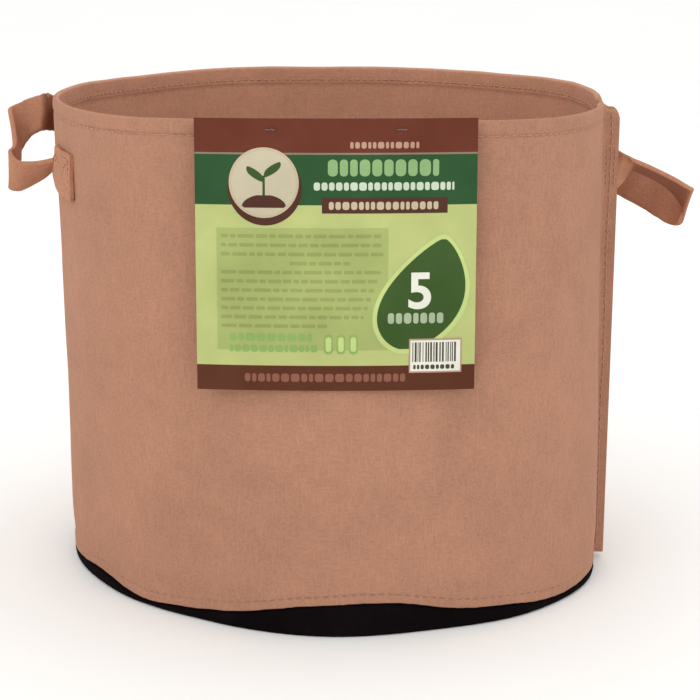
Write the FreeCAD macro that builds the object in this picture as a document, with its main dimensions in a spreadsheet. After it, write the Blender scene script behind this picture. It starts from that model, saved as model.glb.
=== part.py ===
import FreeCAD, Part
import math
import os

# Fabric grow bag: an upright cylinder of tan felt closed by a side seam, with a black felt base sewn
# into its lower edge, a hemmed rim, two felt strap handles and a printed card hung on the front.
# Frame: origin on the ground at the centre of the base, +Z up. The label faces -Y, the rear is +Y,
# the right handle is at +X and the left one at -X. Millimetres and degrees.

Vector = FreeCAD.Vector
Rotation = FreeCAD.Rotation

# alias, value or formula, note
DIMS = [
    ("felt", 2.5, "thickness of one ply of felt"),
    ("wall_radius", 151.0, "outer radius of the wall at the sides and the back"),
    ("front_low", 150.5, "outer face of the wall at the front, near the base"),
    ("front_high", 137.0, "outer face of the wall at the front, near the rim, behind the card"),
    ("corner_low", 140.0, "plan radius either side of the front, near the base"),
    ("corner_high", 70.0, "plan radius either side of the flat front, near the rim"),
    ("blend_low", 26.0, "height where the round lower wall starts to flatten"),
    ("blend_high", 250.0, "height where the flattened front is reached"),
    ("wall_low", 8.0, "height of the wall's lower edge"),
    ("wall_top", 264.0, "height of the rim"),
    ("hem_depth", 9.5, "how far the rim is folded down inside"),
    ("fin_offset", -28.0, "middle plane of the outward side seam, along Y"),
    ("fin_reach", 158.6, "outer edge of the seam allowance, along X"),
    ("fin_top", 258.5, "top of the seam allowance"),
    ("fin_gap", 0.2, "gap between the two plies of the seam"),
    ("fin_half", "=felt + fin_gap / 2", "seam's middle plane to its outer face"),
    ("base_radius", 150.4, "outer radius of the base felt below the wall"),
    ("base_lip_radius", 148.3, "outer radius of the base lip inside the wall"),
    ("base_shoulder", 7.6, "height of the step under the wall's edge"),
    ("base_lip_top", 24.0, "top of the base lip"),
    ("base_inner_radius", 145.8, "inside radius of the base lip"),
    ("base_corner", 4.5, "outer corner radius of the base"),
    ("base_inner_corner", 2.0, "inner corner radius of the base"),
    ("thread", 0.4, "radius of the sewing thread"),
    ("thread_clear", 0.03, "clearance between thread and felt"),
    ("hem_stitch_height", 256.0, "height of the hem stitching"),
    ("base_stitch_height", 13.0, "height of the base stitching"),
    ("fin_stitch_reach", 153.8, "side seam stitching, along X"),
    ("fin_row_front", "=fin_offset - fin_half - thread - thread_clear", "seam's front thread, Y"),
    ("fin_row_rear", "=fin_offset + fin_half + thread + thread_clear", "seam's rear thread, Y"),
    ("fin_row_inset", 1.5, "end of a seam row from the edge of felt or strap above or below it"),
    ("fin_row_break", 2.5, "top of the rear seam row below the strap end"),
    ("tab_row_inset", 2.0, "end of a strap row from the strap's edge"),
    ("tab_row_shift", 0.4, "middle of the two strap rows beyond the side seam stitching"),
    ("tab_row_spread", 2.2, "each strap row from the middle of the two"),
    ("strap_width", 25.0, "width of the handle strap"),
    ("strap", 2.5, "thickness of the handle strap"),
    ("strap_height", 226.0, "height of the middle of the sewn strap ends"),
    ("strap_low", "=strap_height - strap_width / 2", "lower edge of the sewn strap ends"),
    ("strap_top", "=strap_height + strap_width / 2", "upper edge of the sewn strap ends"),
    ("strap_clear", 0.05, "clearance between a sewn strap end and the felt under it"),
    ("tab_inner", "=wall_radius + strap_clear", "inner radius of a sewn strap end"),
    ("tab_outer", "=tab_inner + strap", "outer radius of a sewn strap end"),
    ("left_front_root", 27.2, "outer face of the left handle's front root, toward -Y"),
    ("rear_root", 45.2, "outer face of both handles' rear roots, toward +Y"),
    ("tab_angle", 9.8, "angle of wall that a sewn strap end covers"),
    ("long_tab_angle", 19.4, "angle of wall that the left handle's front end covers"),
    ("tab_extra", 1.0, "angle added to the covered angle of a sewn end"),
    ("root_reach", 164.0, "how far the fixed strap roots stand out from the axis"),
    ("root_overlap", 20.0, "length of root block inside the wall radius before it is trimmed"),
    ("box_start", 2.6, "angle from the near end of the sewn length to the stitched box"),
    ("box_inset", 3.0, "stitched box from the strap's edges"),
    ("box_relief", 1.4, "radial depth of the box stitching, in thread radii"),
    ("hinge_reach", 162.5, "line about which a handle bends, from the axis"),
    ("lap_clear", 0.4, "clearance between a fixed root and the swinging strap"),
    ("card_width", 140.0, "width of the label card"),
    ("card_shift", 3.9, "middle of the card from the bag's middle, along X"),
    ("card_left", "=card_shift - card_width / 2", "left edge of the card, along X"),
    ("card_low", 131.0, "nominal lower edge of the card, before it leans"),
    ("card_crease", 251.0, "height of the crease under the header strip"),
    ("crease_gap", 0.3, "gap between the header strip and the card"),
    ("card_length", "=card_crease - crease_gap - card_low", "length of the card below the crease"),
    ("card_top", 266.0, "top edge of the card"),
    ("card", 0.6, "thickness of the card"),
    ("card_offset", 138.1, "back face of the card from the axis"),
    ("pin_offset", 32.0, "tag pins either side of the card's middle"),
    ("pin_height", 260.0, "height of the tag pins"),
    ("pin", 0.6, "radius of the tag pin's filament"),
    ("pin_bar", 0.8, "radius of the tag pin's cross bar"),
    ("pin_bar_span", 7.0, "length of the tag pin's cross bar"),
    ("pin_hole", 0.9, "radius of the hole the tag pin passes through"),
    ("bar_front_gap", 0.05, "gap between the front cross bar and the card"),
    ("bar_rear_gap", 0.3, "gap between the rear cross bar and the hem"),
    ("bar_front", "=0 - card_offset - card - bar_front_gap - pin_bar", "front cross bar, Y"),
    ("bar_rear", "=2 * felt + pin_bar + bar_rear_gap - front_high", "rear cross bar, Y"),
]

doc = FreeCAD.newDocument("FabricGrowBag")
sheet = doc.addObject("Spreadsheet::Sheet", "Dims")
for row, (alias, value, note) in enumerate(DIMS, 1):
    sheet.set(f"A{row}", note)
    sheet.set(f"B{row}", str(value))
    sheet.setAlias(f"B{row}", alias)
doc.recompute()

PARTS = []

# A cylinder starts along +Z; these turn it along -Y and along +X.
TOWARD_FRONT = Rotation(Vector(1, 0, 0), 90)
TOWARD_RIGHT = Rotation(Vector(0, 1, 0), 90)

PIN_SIDES = (("Left", -1), ("Right", 1))


def dim(alias):
    return float(getattr(sheet, alias))


# ---- document objects; sizes and places are given as sheet expressions
def keep(obj, label):
    obj.Label = label
    PARTS.append(obj)


def keep_shape(name, shape, label):
    feature = doc.addObject("Part::Feature", name)
    feature.Shape = shape
    keep(feature, label)


def bind(obj, **expressions):
    for path, expression in expressions.items():
        obj.setExpression(path, expression)


def place(obj, x, y, z):
    for axis, expression in (("x", x), ("y", y), ("z", z)):
        obj.setExpression(f".Placement.Base.{axis}", expression)


def cylinder(name, radius, height, x="0", y="0", z="0"):
    obj = doc.addObject("Part::Cylinder", name)
    bind(obj, Radius=radius, Height=height)
    place(obj, x, y, z)
    return obj


def block(name, x, y, z, length, width, height):
    obj = doc.addObject("Part::Box", name)
    bind(obj, Length=length, Width=width, Height=height)
    place(obj, x, y, z)
    return obj


def fuse(name, *objects):
    obj = doc.addObject("Part::MultiFuse", name)
    obj.Shapes = list(objects)
    return obj


def boolean(kind, name, base, tool):
    # kind is "Cut" or "Common"
    obj = doc.addObject(f"Part::{kind}", name)
    obj.Base = base
    obj.Tool = tool
    return obj


def compound(name, objects):
    obj = doc.addObject("Part::Compound", name)
    obj.Links = objects
    return obj


# ---- plan of the wall; level is "low" near the base or "high" near the rim
def outline(level, z, offset=0.0):
    # closed wire: a round back and sides, a straight front and an arc at each end of it
    radius = dim("wall_radius") + offset
    front = dim(f"front_{level}") + offset
    corner = dim(f"corner_{level}") + offset
    join_angle = math.asin(-(front - corner) / (radius - corner))
    centre_x = (radius - corner) * math.cos(join_angle)
    centre_y = (radius - corner) * math.sin(join_angle)
    middle_angle = (join_angle - math.pi / 2) / 2

    def mirrored(point):
        return Vector(-point.x, point.y, z)

    join = Vector(radius * math.cos(join_angle), radius * math.sin(join_angle), z)
    middle = Vector(
        centre_x + corner * math.cos(middle_angle),
        centre_y + corner * math.sin(middle_angle),
        z,
    )
    flat = Vector(centre_x, -front, z)
    back = Part.Arc(join, Vector(0, radius, z), mirrored(join)).toShape()
    left = Part.Arc(mirrored(join), mirrored(middle), mirrored(flat)).toShape()
    straight = Part.makeLine(mirrored(flat), flat)
    right = Part.Arc(flat, middle, join).toShape()
    return Part.Wire([back, left, straight, right])


def prism(level, z, offset, height):
    return Part.Face(outline(level, z, offset)).extrude(Vector(0, 0, height))


def loft_solid(wires):
    return Part.makeLoft(wires, True, True).Solids[0]


def tube_solid(offset, low, high):
    # all that lies inside the wall's surface at an offset, flattening in front toward the rim
    levels = (
        ("low", low),
        ("low", dim("blend_low")),
        ("high", dim("blend_high")),
        ("high", high),
    )
    return loft_solid([outline(level, z, offset) for level, z in levels])


# ---- wall panel: felt rolled into a tube; its two raw edges turn outward as a side seam
def build_wall():
    flap_start = 130.0  # X inside the wall where the seam allowance block begins
    slit_depth = 58.0  # length of the gap between the plies, inward from their outer edge
    overshoot = 1.0  # how far a cutter passes the felt
    drill_start = 15.0  # pin hole cutter, ahead of the wall's front face
    drill_length = 40.0
    felt, low, top = dim("felt"), dim("wall_low"), dim("wall_top")
    seam_y, seam_half = dim("fin_offset"), dim("fin_half")
    gap, reach = dim("fin_gap"), dim("fin_reach")
    hem_low = top - dim("hem_depth")

    body = tube_solid(0.0, low, top)
    flaps = Part.makeBox(
        reach - flap_start,
        2 * seam_half,
        dim("fin_top") - low,
        Vector(flap_start, seam_y - seam_half, low),
    )
    body = body.fuse(flaps)
    # one ply below the hem, two plies within it
    body = body.cut(tube_solid(-felt, low - overshoot, hem_low))
    body = body.cut(prism("high", hem_low - 0.001, -2 * felt, dim("hem_depth") + overshoot))
    slit_start = Vector(reach - slit_depth, seam_y - gap / 2, 0)
    body = body.cut(Part.makeBox(slit_depth + 2, gap, top, slit_start))
    for _, sign in PIN_SIDES:
        x = sign * dim("pin_offset") + dim("card_shift")
        start = Vector(x, -dim("front_high") - drill_start, dim("pin_height"))
        drill = Part.makeCylinder(dim("pin_hole"), drill_length, start, Vector(0, 1, 0))
        body = body.cut(drill)
    if len(body.Solids) != 1:
        raise RuntimeError(f"the wall is {len(body.Solids)} solids")
    keep_shape("WallPanel", body.Solids[0], "wall_panel")


# ---- base panel: a shallow black felt dish, its lip standing inside the wall
def outline_sketch(body, name, radius, height):
    # the lower plan outline of the wall, offset to a radius, as a sketch of three arcs and a line
    sketch = body.newObject("Sketcher::SketchObject", name)
    ground = next(item for item in body.Origin.OriginFeatures if item.Role == "XY_Plane")
    sketch.AttachmentSupport = [(ground, "")]
    sketch.MapMode = "FlatFace"
    sketch.setExpression(".AttachmentOffset.Base.z", height)
    for edge in outline("low", 0.0, dim(radius) - dim("wall_radius")).Edges:
        if edge.Curve.TypeId == "Part::GeomCircle":
            item = Part.ArcOfCircle(edge.Curve, edge.FirstParameter, edge.LastParameter)
        else:
            item = Part.LineSegment(edge.Vertexes[0].Point, edge.Vertexes[1].Point)
        sketch.addGeometry(item, False)
    return sketch


def edges_at(shape, z, reach):
    # the edges of one closed outline: all at this height, and within 1 mm of this reach from the axis
    found = []
    for i, edge in enumerate(shape.Edges, 1):
        box = edge.BoundBox
        level = abs(box.ZMin - z) < 0.01 and abs(box.ZMax - z) < 0.01
        farthest = max(math.hypot(v.Point.x, v.Point.y) for v in edge.Vertexes)
        if level and abs(farthest - reach) < 1.0:
            found.append(f"Edge{i}")
    return found


def build_base():
    body = doc.addObject("PartDesign::Body", "BasePanel")
    lip_height = "Dims.base_lip_top - Dims.base_shoulder"
    hollow_depth = "Dims.base_lip_top - Dims.felt"
    # kind, name, outline radius, sketch height, length upward
    steps = (
        ("Pad", "BaseDisc", "base_radius", "0", "Dims.base_shoulder"),
        ("Pad", "BaseLip", "base_lip_radius", "Dims.base_shoulder", lip_height),
        ("Pocket", "BaseHollow", "base_inner_radius", "Dims.felt", hollow_depth),
    )
    for kind, name, radius, height, length in steps:
        sketch = outline_sketch(body, f"{name}Sketch", radius, height)
        feature = body.newObject(f"PartDesign::{kind}", name)
        feature.Profile = sketch
        feature.setExpression("Length", length)
        # a pocket cuts downward unless it is reversed
        feature.Reversed = kind == "Pocket"
        doc.recompute()

    for name, reach, z, radius in (
        ("BaseCorner", "base_radius", 0.0, "Dims.base_corner"),
        ("BaseInnerCorner", "base_inner_radius", dim("felt"), "Dims.base_inner_corner"),
    ):
        tip = body.Tip
        fillet = body.newObject("PartDesign::Fillet", name)
        fillet.Base = (tip, edges_at(tip.Shape, z, dim(reach)))
        fillet.setExpression("Radius", radius)
        doc.recompute()
    keep(body, "base_panel")


# ---- hem and base stitching: one row outside, broken at the side seam, and an unbroken one inside
def build_ring_stitching(name, label, level, z, depth):
    # depth is the thickness of felt between the outer and inner rows
    seam_margin = 0.6  # break in the outer row beyond each face of the seam
    clear, thickness = dim("thread_clear"), 2 * dim("thread")

    def band(inner_offset):
        low = z - thickness / 2
        outer = prism(level, low, inner_offset + thickness, thickness)
        return outer.cut(prism(level, low, inner_offset, thickness))

    half = dim("fin_half") + seam_margin
    break_corner = Vector(120, dim("fin_offset") - half, z - 20)
    outside = band(clear).cut(Part.makeBox(60, 2 * half, 40, break_corner))
    inside = band(-depth - clear - thickness)
    keep_shape(name, Part.makeCompound(outside.Solids + inside.Solids), label)


# ---- side seam stitching: a vertical row on each face of the seam allowance
def vertical_row(name, x, y, low, high):
    return cylinder(name, "Dims.thread", f"({high}) - ({low})", x, y, low)


def build_side_seam_stitching():
    bottom = "Dims.wall_low + Dims.fin_row_inset"
    top = "Dims.fin_top - Dims.fin_row_inset"
    below_strap = "Dims.strap_low - Dims.fin_row_break"
    above_strap = "Dims.strap_top + Dims.fin_row_inset"
    # the rear row stops under and starts again over the strap end sewn against it
    rows = [
        vertical_row(name, "Dims.fin_stitch_reach", f"Dims.{y}", low, high)
        for name, y, low, high in (
            ("SeamRowFront", "fin_row_front", bottom, top),
            ("SeamRowRearLow", "fin_row_rear", bottom, below_strap),
            ("SeamRowRearHigh", "fin_row_rear", above_strap, top),
        )
    ]
    keep(compound("SeamStitching", rows), "side_seam_stitching")


# ---- sewn strap ends; side is -1 left or 1 right, end is -1 front or 1 rear
# handle end, side, end, alias of the root's outer face, alias of the angle of wall covered
WALL_TABS = (
    ("left_handle_front", -1, -1, "left_front_root", "long_tab_angle"),
    ("left_handle_rear", -1, 1, "rear_root", "tab_angle"),
    ("right_handle_rear", 1, 1, "rear_root", "tab_angle"),
)


def root_angle(root):
    # angle from the X axis to the inner face of a root, at the wall
    return math.degrees(math.asin((dim(root) - dim("strap")) / dim("wall_radius")))


def strap_root(name, side, y):
    # a short length of strap standing out from the wall along X
    x = "Dims.wall_radius - Dims.root_overlap" if side > 0 else "-Dims.root_reach"
    length = "Dims.root_reach - Dims.wall_radius + Dims.root_overlap"
    stub = block(f"{name}Stub", x, y, "Dims.strap_low", length, "Dims.strap", "Dims.strap_width")
    core = cylinder(
        f"{name}Core", "Dims.tab_inner", "Dims.strap_width + 4", z="Dims.strap_low - 2"
    )
    return boolean("Cut", f"{name}Root", stub, core)


def wall_tab(name, side, end, root, cover):
    # the strap lies on the wall, then turns outward as a short root
    def sector(tag, radius, margin):
        obj = cylinder(f"{name}{tag}", f"Dims.{radius}", "Dims.strap_width", z="Dims.strap_low")
        obj.setExpression("Angle", f"Dims.{cover} + Dims.tab_extra + {2 * margin}")
        near = root_angle(root) - margin
        far = near + dim(cover) + dim("tab_extra") + 2 * margin
        first = near if side == end else -far
        if side < 0:
            first += 180
        obj.Placement.Rotation = Rotation(Vector(0, 0, 1), first)
        return obj

    inner = sector("In", "tab_inner", 4.0)
    outer = sector("Out", "tab_outer", 0.0)
    band = boolean("Cut", f"{name}Band", outer, inner)
    y = f"Dims.{root} - Dims.strap" if end > 0 else f"-Dims.{root}"
    return fuse(name, band, strap_root(name, side, y))


def box_cross(name, side, end, root, cover):
    # a box with a cross at the far end of the sewn length, following the curve of the wall
    bar_start, bar_length = 130.0, 30.0  # bars run along X, through the strap end
    width = 2 * dim("thread")
    half_height = dim("strap_width") / 2 - dim("box_inset")
    low, high = dim("strap_height") - half_height, dim("strap_height") + half_height
    far_angle = root_angle(root) + dim(cover)
    near_angle = far_angle - dim("tab_angle") + dim("box_start")
    near = end * dim("tab_outer") * math.sin(math.radians(near_angle))
    far = end * dim("tab_outer") * math.sin(math.radians(far_angle))

    # name, then the two ends of each line of thread in (Y, Z)
    lines = (
        ("Low", (near, low), (far, low)),
        ("High", (near, high), (far, high)),
        ("Near", (near, low), (near, high)),
        ("Far", (far, low), (far, high)),
        ("Cross", (near, low), (far, high)),
        ("CrossBack", (near, high), (far, low)),
    )
    bars = []
    for tag, (y0, z0), (y1, z1) in lines:
        bar = doc.addObject("Part::Box", f"{name}{tag}")
        bar.Length = bar_length
        bar.Width = math.hypot(y1 - y0, z1 - z0) + width
        bar.setExpression("Height", "2 * Dims.thread")
        turn = Rotation(Vector(1, 0, 0), math.degrees(math.atan2(z1 - z0, y1 - y0)))
        corner = turn.multVec(Vector(0, -width / 2, -width / 2))
        x = bar_start if side > 0 else -bar_start - bar_length
        bar.Placement = FreeCAD.Placement(Vector(x, y0, z0) + corner, turn)
        bars.append(bar)
    pattern = fuse(f"{name}Pattern", *bars)

    skin_radius = "Dims.tab_outer + Dims.thread_clear"
    skin_out = cylinder(
        f"{name}SkinOut",
        f"{skin_radius} + Dims.box_relief * Dims.thread",
        "Dims.strap_width",
        z="Dims.strap_low",
    )
    skin_in = cylinder(
        f"{name}SkinIn", skin_radius, "Dims.strap_width + 2", z="Dims.strap_low - 1"
    )
    skin = boolean("Cut", f"{name}Skin", skin_out, skin_in)
    return boolean("Common", name, pattern, skin)


def build_wall_tabs():
    for handle_end, *layout in WALL_TABS:
        name = handle_end.title().replace("_", "")
        keep(wall_tab(f"{name}Tab", *layout), f"{handle_end}_tab")
        keep(box_cross(f"{name}Stitching", *layout), f"{handle_end}_stitching")


def build_right_front_tab():
    # the right handle's front end is sewn flat against the rear face of the side seam
    y = "Dims.fin_offset + Dims.fin_half + Dims.strap_clear"
    keep(strap_root("RightHandleFront", 1, y), "right_handle_front_tab")
    # two short rows on the seam's front face
    rows = [
        vertical_row(
            f"RightFrontRow{tag}",
            f"Dims.fin_stitch_reach + Dims.tab_row_shift {sign} Dims.tab_row_spread",
            "Dims.fin_row_front",
            "Dims.strap_low + Dims.tab_row_inset",
            "Dims.strap_top - Dims.tab_row_inset",
        )
        for tag, sign in (("Inner", "-"), ("Outer", "+"))
    ]
    keep(compound("RightHandleFrontStitching", rows), "right_handle_front_stitching")


# ---- swinging straps: one ribbon each, lofted through sections along its length
def smooth(values, i, fraction):
    # a point on the smooth curve through the values, between values i and i + 1
    start, stop = values[i], values[i + 1]
    before = values[i - 1] if i > 0 else start * 2 - stop
    after = values[i + 2] if i + 2 < len(values) else stop * 2 - start
    return (
        start * 2
        + (stop - before) * fraction
        + (before * 2 - start * 5 + stop * 4 - after) * fraction**2
        + (start * 3 - before - stop * 3 + after) * fraction**3
    ) * 0.5


def subdivide(values, steps=3):
    points = [smooth(values, i, k / steps) for i in range(len(values) - 1) for k in range(steps)]
    return points + [values[-1]]


def ribbon(stations):
    # a station is a centre and the direction of the strap's width
    centres = subdivide([centre for centre, _ in stations])
    widths = subdivide([width for _, width in stations])
    wires = []
    for i, (centre, width) in enumerate(zip(centres, widths)):
        tangent = centres[min(len(centres) - 1, i + 1)] - centres[max(0, i - 1)]
        tangent.normalize()
        across = width - tangent * width.dot(tangent)
        across.normalize()
        side = across * (dim("strap_width") / 2)
        face = tangent.cross(across) * (dim("strap") / 2)
        corners = [
            centre + side + face,
            centre - side + face,
            centre - side - face,
            centre + side - face,
        ]
        wires.append(Part.makePolygon(corners + corners[:1]))
    return loft_solid(wires)


# distance out from the hinge along the drooping strap, leg whose line Y is measured from,
# Y from that line, roll in degrees
RIGHT_STATIONS = (
    (0, "rear", 0, 0),
    (5, "rear", -0.05, 0),
    (10, "rear", -0.6, 0),
    (18, "rear", -4, 0),
    (29, "rear", -12, 0),
    (38, "rear", -24, 0),
    (43.5, "rear", -37, 0),
    (44.5, "rear", -46.5, 0),
    (39.5, "rear", -53.5, 4),
    (30, "front", 3.0, 14),
    (20, "front", 1.6, 18),
    (11, "front", 0.6, 8),
    (5, "front", 0.1, 1),
    (0, "front", 0, 0),
)

# distance out from the hinge along -X, leg whose line Y is measured from, Y from that line,
# rise above the middle of the sewn ends, lean and twist in degrees
LEFT_STATIONS = (
    (0, "rear", 0, 0, 34, 0),
    (4, "rear", -0.05, 2.8, 34, 0),
    (8, "rear", -0.8, 6.0, 30, 0),
    (13, "rear", -5, 10.5, 22, -2),
    (17, "rear", -13, 13.6, 10, -4),
    (19.2, "rear", -23, 13.0, -2, 6),
    (20.0, "rear", -34, 8.6, -10, 16),
    (19.4, "rear", -45, 2.0, -14, 20),
    (16.4, "rear", -54, -3.8, -14, 12),
    (11.5, "front", 3.2, -5.2, -12, 4),
    (7, "front", 0.8, -3.6, -15, 0),
    (3.5, "front", 0.1, -1.6, -18, 0),
    (0, "front", 0, 0, -18, 0),
)


def lap_offset():
    # outer face of a root to the middle of the swinging strap lapped inside it
    return dim("strap") + dim("lap_clear") + dim("strap") / 2


def build_right_loop():
    # droops outward and is pressed nearly shut; its front leg is partly rolled over
    droop = math.radians(-27)
    pivot_drop = 3.0
    along = Vector(math.cos(droop), 0, math.sin(droop))
    across = Vector(-math.sin(droop), 0, math.cos(droop))
    pivot = Vector(dim("hinge_reach"), 0, dim("strap_height") - pivot_drop)
    half_width = dim("strap_width") / 2
    seam_face = dim("fin_offset") + dim("fin_half")
    leg_y = {
        "rear": dim("rear_root") - lap_offset(),
        "front": seam_face + dim("strap_clear") + lap_offset(),
    }
    stations = []
    for out, leg, shift, roll in RIGHT_STATIONS:
        # the upper edge stays in line while the lower edge swings toward the middle of the loop
        angle = math.radians(roll)
        width = across * math.cos(angle) - Vector(0, 1, 0) * math.sin(angle)
        top = pivot + along * out + across * half_width + Vector(0, leg_y[leg] + shift, 0)
        stations.append((top - width * half_width, width))
    keep_shape("RightHandleLoop", ribbon(stations), "right_handle_loop")


def build_left_loop():
    # stands open, its rear leg rising toward the rim and its front leg hanging lower
    leg_y = {
        "rear": dim("rear_root") - lap_offset(),
        "front": lap_offset() - dim("left_front_root"),
    }
    stations = []
    for out, leg, shift, rise, lean_angle, twist_angle in LEFT_STATIONS:
        # lean tips the upper edge toward the bag, twist turns it toward the front
        lean, twist = math.radians(lean_angle), math.radians(twist_angle)
        width = Vector(math.sin(lean), -math.sin(twist), math.cos(lean) * math.cos(twist))
        x = -dim("hinge_reach") - out
        centre = Vector(x, leg_y[leg] + shift, dim("strap_height") + rise)
        stations.append((centre, width))
    keep_shape("LeftHandleLoop", ribbon(stations), "left_handle_loop")


# ---- label: a printed card creased across; the strip above the crease is pinned to the hem
def pin_x(sign):
    return f"{sign} * Dims.pin_offset + Dims.card_shift"


def build_label_header():
    header = block(
        "LabelHeaderBlank",
        "Dims.card_left",
        "-Dims.card_offset - Dims.card",
        "Dims.card_crease",
        "Dims.card_width",
        "Dims.card",
        "Dims.card_top - Dims.card_crease",
    )
    holes = []
    for side, sign in PIN_SIDES:
        hole = cylinder(
            f"LabelHole{side}",
            "Dims.pin_hole",
            "20",
            pin_x(sign),
            "-Dims.card_offset + 10",
            "Dims.pin_height",
        )
        hole.Placement.Rotation = TOWARD_FRONT
        holes.append(hole)
    cut = boolean("Cut", "LabelHeader", header, fuse("LabelHoles", *holes))
    keep(cut, "label_header_strip")


def build_label_card():
    # below the crease the card lies along the wall, which leans outward toward the base
    card = doc.addObject("Part::Box", "LabelCard")
    bind(card, Length="Dims.card_width", Width="Dims.card", Height="Dims.card_length")
    setback = dim("front_low") - dim("front_high")
    lean = math.degrees(math.atan(setback / (dim("blend_high") - dim("blend_low"))))
    turn = Rotation(Vector(1, 0, 0), -lean)
    # the card hangs from its upper back edge
    top = Vector(dim("card_left"), -dim("card_offset"), dim("card_crease") - dim("crease_gap"))
    drop = turn.multVec(Vector(0, dim("card"), dim("card_length")))
    card.Placement = FreeCAD.Placement(top - drop, turn)
    keep(card, "label_card")


# ---- tag pins: a filament through card and hem with a cross bar at each end
def build_tag_pins():
    pins = []
    for side, sign in PIN_SIDES:
        filament = cylinder(
            f"TagFilament{side}",
            "Dims.pin",
            "Dims.bar_rear - Dims.bar_front",
            pin_x(sign),
            "Dims.bar_rear",
            "Dims.pin_height",
        )
        filament.Placement.Rotation = TOWARD_FRONT
        bars = []
        for tag, y in (("Front", "Dims.bar_front"), ("Rear", "Dims.bar_rear")):
            bar = cylinder(
                f"TagBar{side}{tag}",
                "Dims.pin_bar",
                "Dims.pin_bar_span",
                f"{pin_x(sign)} - Dims.pin_bar_span / 2",
                y,
                "Dims.pin_height",
            )
            bar.Placement.Rotation = TOWARD_RIGHT
            bars.append(bar)
        pins.append(fuse(f"TagPin{side}", filament, *bars))
    keep(compound("TagPins", pins), "label_tag_pins")


def export_parts():
    for obj in doc.Objects:
        state = list(obj.State)
        if "Invalid" in state or "Error" in state:
            raise RuntimeError(f"{obj.Name} failed: {state}")
    for obj in PARTS:
        shape = obj.Shape
        if shape.isNull() or not shape.isValid() or not shape.Solids:
            raise RuntimeError(f"{obj.Label} has no valid solid")
    os.makedirs("parts", exist_ok=True)
    for obj in PARTS:
        obj.Shape.exportStep(f"parts/{obj.Label}.step")


build_wall()
build_base()
build_ring_stitching(
    "HemStitching", "rim_hem_stitching", "high", dim("hem_stitch_height"), 2 * dim("felt")
)
build_ring_stitching(
    "BaseStitching",
    "base_seam_stitching",
    "low",
    dim("base_stitch_height"),
    dim("wall_radius") - dim("base_inner_radius"),
)
build_side_seam_stitching()
build_wall_tabs()
build_right_front_tab()
build_right_loop()
build_left_loop()
build_label_header()
build_label_card()
build_tag_pins()
doc.recompute()
export_parts()
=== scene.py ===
"""Round felt bag with a dark base, two strap handles and a printed card pinned to its front.

The bag stands on z = 0 around the Z axis, with its front towards -Y, a handle on each side
(+X right, -X left) and the seam of the wall on the right side, a little forward of +X.
Shapes are worked out in millimetres and turned into metres when a mesh is made. Directions
around the bag are degrees counter-clockwise from above: 0 is +X, 90 the rear, 270 the front.
"""
import math
from typing import NamedTuple

import bmesh
import bpy
import numpy as np
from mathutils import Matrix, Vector, noise


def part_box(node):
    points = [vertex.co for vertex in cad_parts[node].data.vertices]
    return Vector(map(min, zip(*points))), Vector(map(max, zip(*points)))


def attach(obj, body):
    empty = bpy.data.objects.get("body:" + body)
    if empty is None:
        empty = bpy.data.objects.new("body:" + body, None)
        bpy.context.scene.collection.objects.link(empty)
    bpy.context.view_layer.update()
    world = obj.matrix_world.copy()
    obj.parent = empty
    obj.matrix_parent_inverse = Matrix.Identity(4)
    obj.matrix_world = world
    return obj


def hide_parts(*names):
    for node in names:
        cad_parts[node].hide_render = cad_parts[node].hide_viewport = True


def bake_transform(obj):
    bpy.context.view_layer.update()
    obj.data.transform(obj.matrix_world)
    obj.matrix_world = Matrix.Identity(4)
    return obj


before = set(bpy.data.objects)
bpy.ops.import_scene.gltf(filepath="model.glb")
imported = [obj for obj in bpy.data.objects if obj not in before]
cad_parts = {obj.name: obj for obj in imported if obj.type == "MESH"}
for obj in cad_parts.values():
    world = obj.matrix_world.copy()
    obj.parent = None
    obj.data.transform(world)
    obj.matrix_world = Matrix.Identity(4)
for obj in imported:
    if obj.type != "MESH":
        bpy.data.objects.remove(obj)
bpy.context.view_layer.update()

MM = 0.001
UP = np.array([0, 0, 1.0])
thread_rng = np.random.default_rng(7)


# ---------------------------------------------------------------- helpers


def box_mm(piece):
    """Lower and upper corner of a CAD piece, in millimetres."""
    return [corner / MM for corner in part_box(piece)]


def make_mesh(name, verts, faces, materials, face_materials=None, sharp=None):
    """Smooth-shaded object from points in millimetres; sharp is an edge angle in degrees."""
    mesh = bpy.data.meshes.new(name)
    points = [tuple(float(value) * MM for value in vert) for vert in verts]
    mesh.from_pydata(points, [], [tuple(face) for face in faces])
    mesh.update()
    for material in materials:
        mesh.materials.append(material)
    if face_materials is not None:
        indices = np.asarray(face_materials, dtype=np.int32)
        mesh.polygons.foreach_set("material_index", indices)
    mesh.polygons.foreach_set("use_smooth", np.ones(len(mesh.polygons), dtype=bool))
    if sharp is not None:
        mesh.set_sharp_from_angle(angle=math.radians(sharp))
    mesh.validate()
    piece = bpy.data.objects.new(name, mesh)
    bpy.context.scene.collection.objects.link(piece)
    return piece


def add_attribute(piece, name, values):
    attribute = piece.data.attributes.new(name, "FLOAT", "POINT")
    attribute.data.foreach_set("value", np.asarray(values, dtype=np.float32).reshape(-1))


def ride_bag(piece, replaced):
    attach(piece, "bag")
    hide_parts(replaced)


def tube_faces(rows, ring, base=0, closed=True):
    """Quads between neighbouring rows of ring points, numbered from base."""
    faces = []
    for i in range(rows - 1):
        low, high = base + i * ring, base + (i + 1) * ring
        for k in range(ring if closed else ring - 1):
            following = (k + 1) % ring
            faces.append((low + k, low + following, high + following, high + k))
    return faces


def capped_tube_faces(rows, ring, base=0):
    first_cap = tuple(base + k for k in reversed(range(ring)))
    last_cap = tuple(base + (rows - 1) * ring + k for k in range(ring))
    return tube_faces(rows, ring, base) + [first_cap, last_cap]


def unit(vectors):
    return vectors / np.linalg.norm(vectors, axis=-1, keepdims=True)


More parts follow.
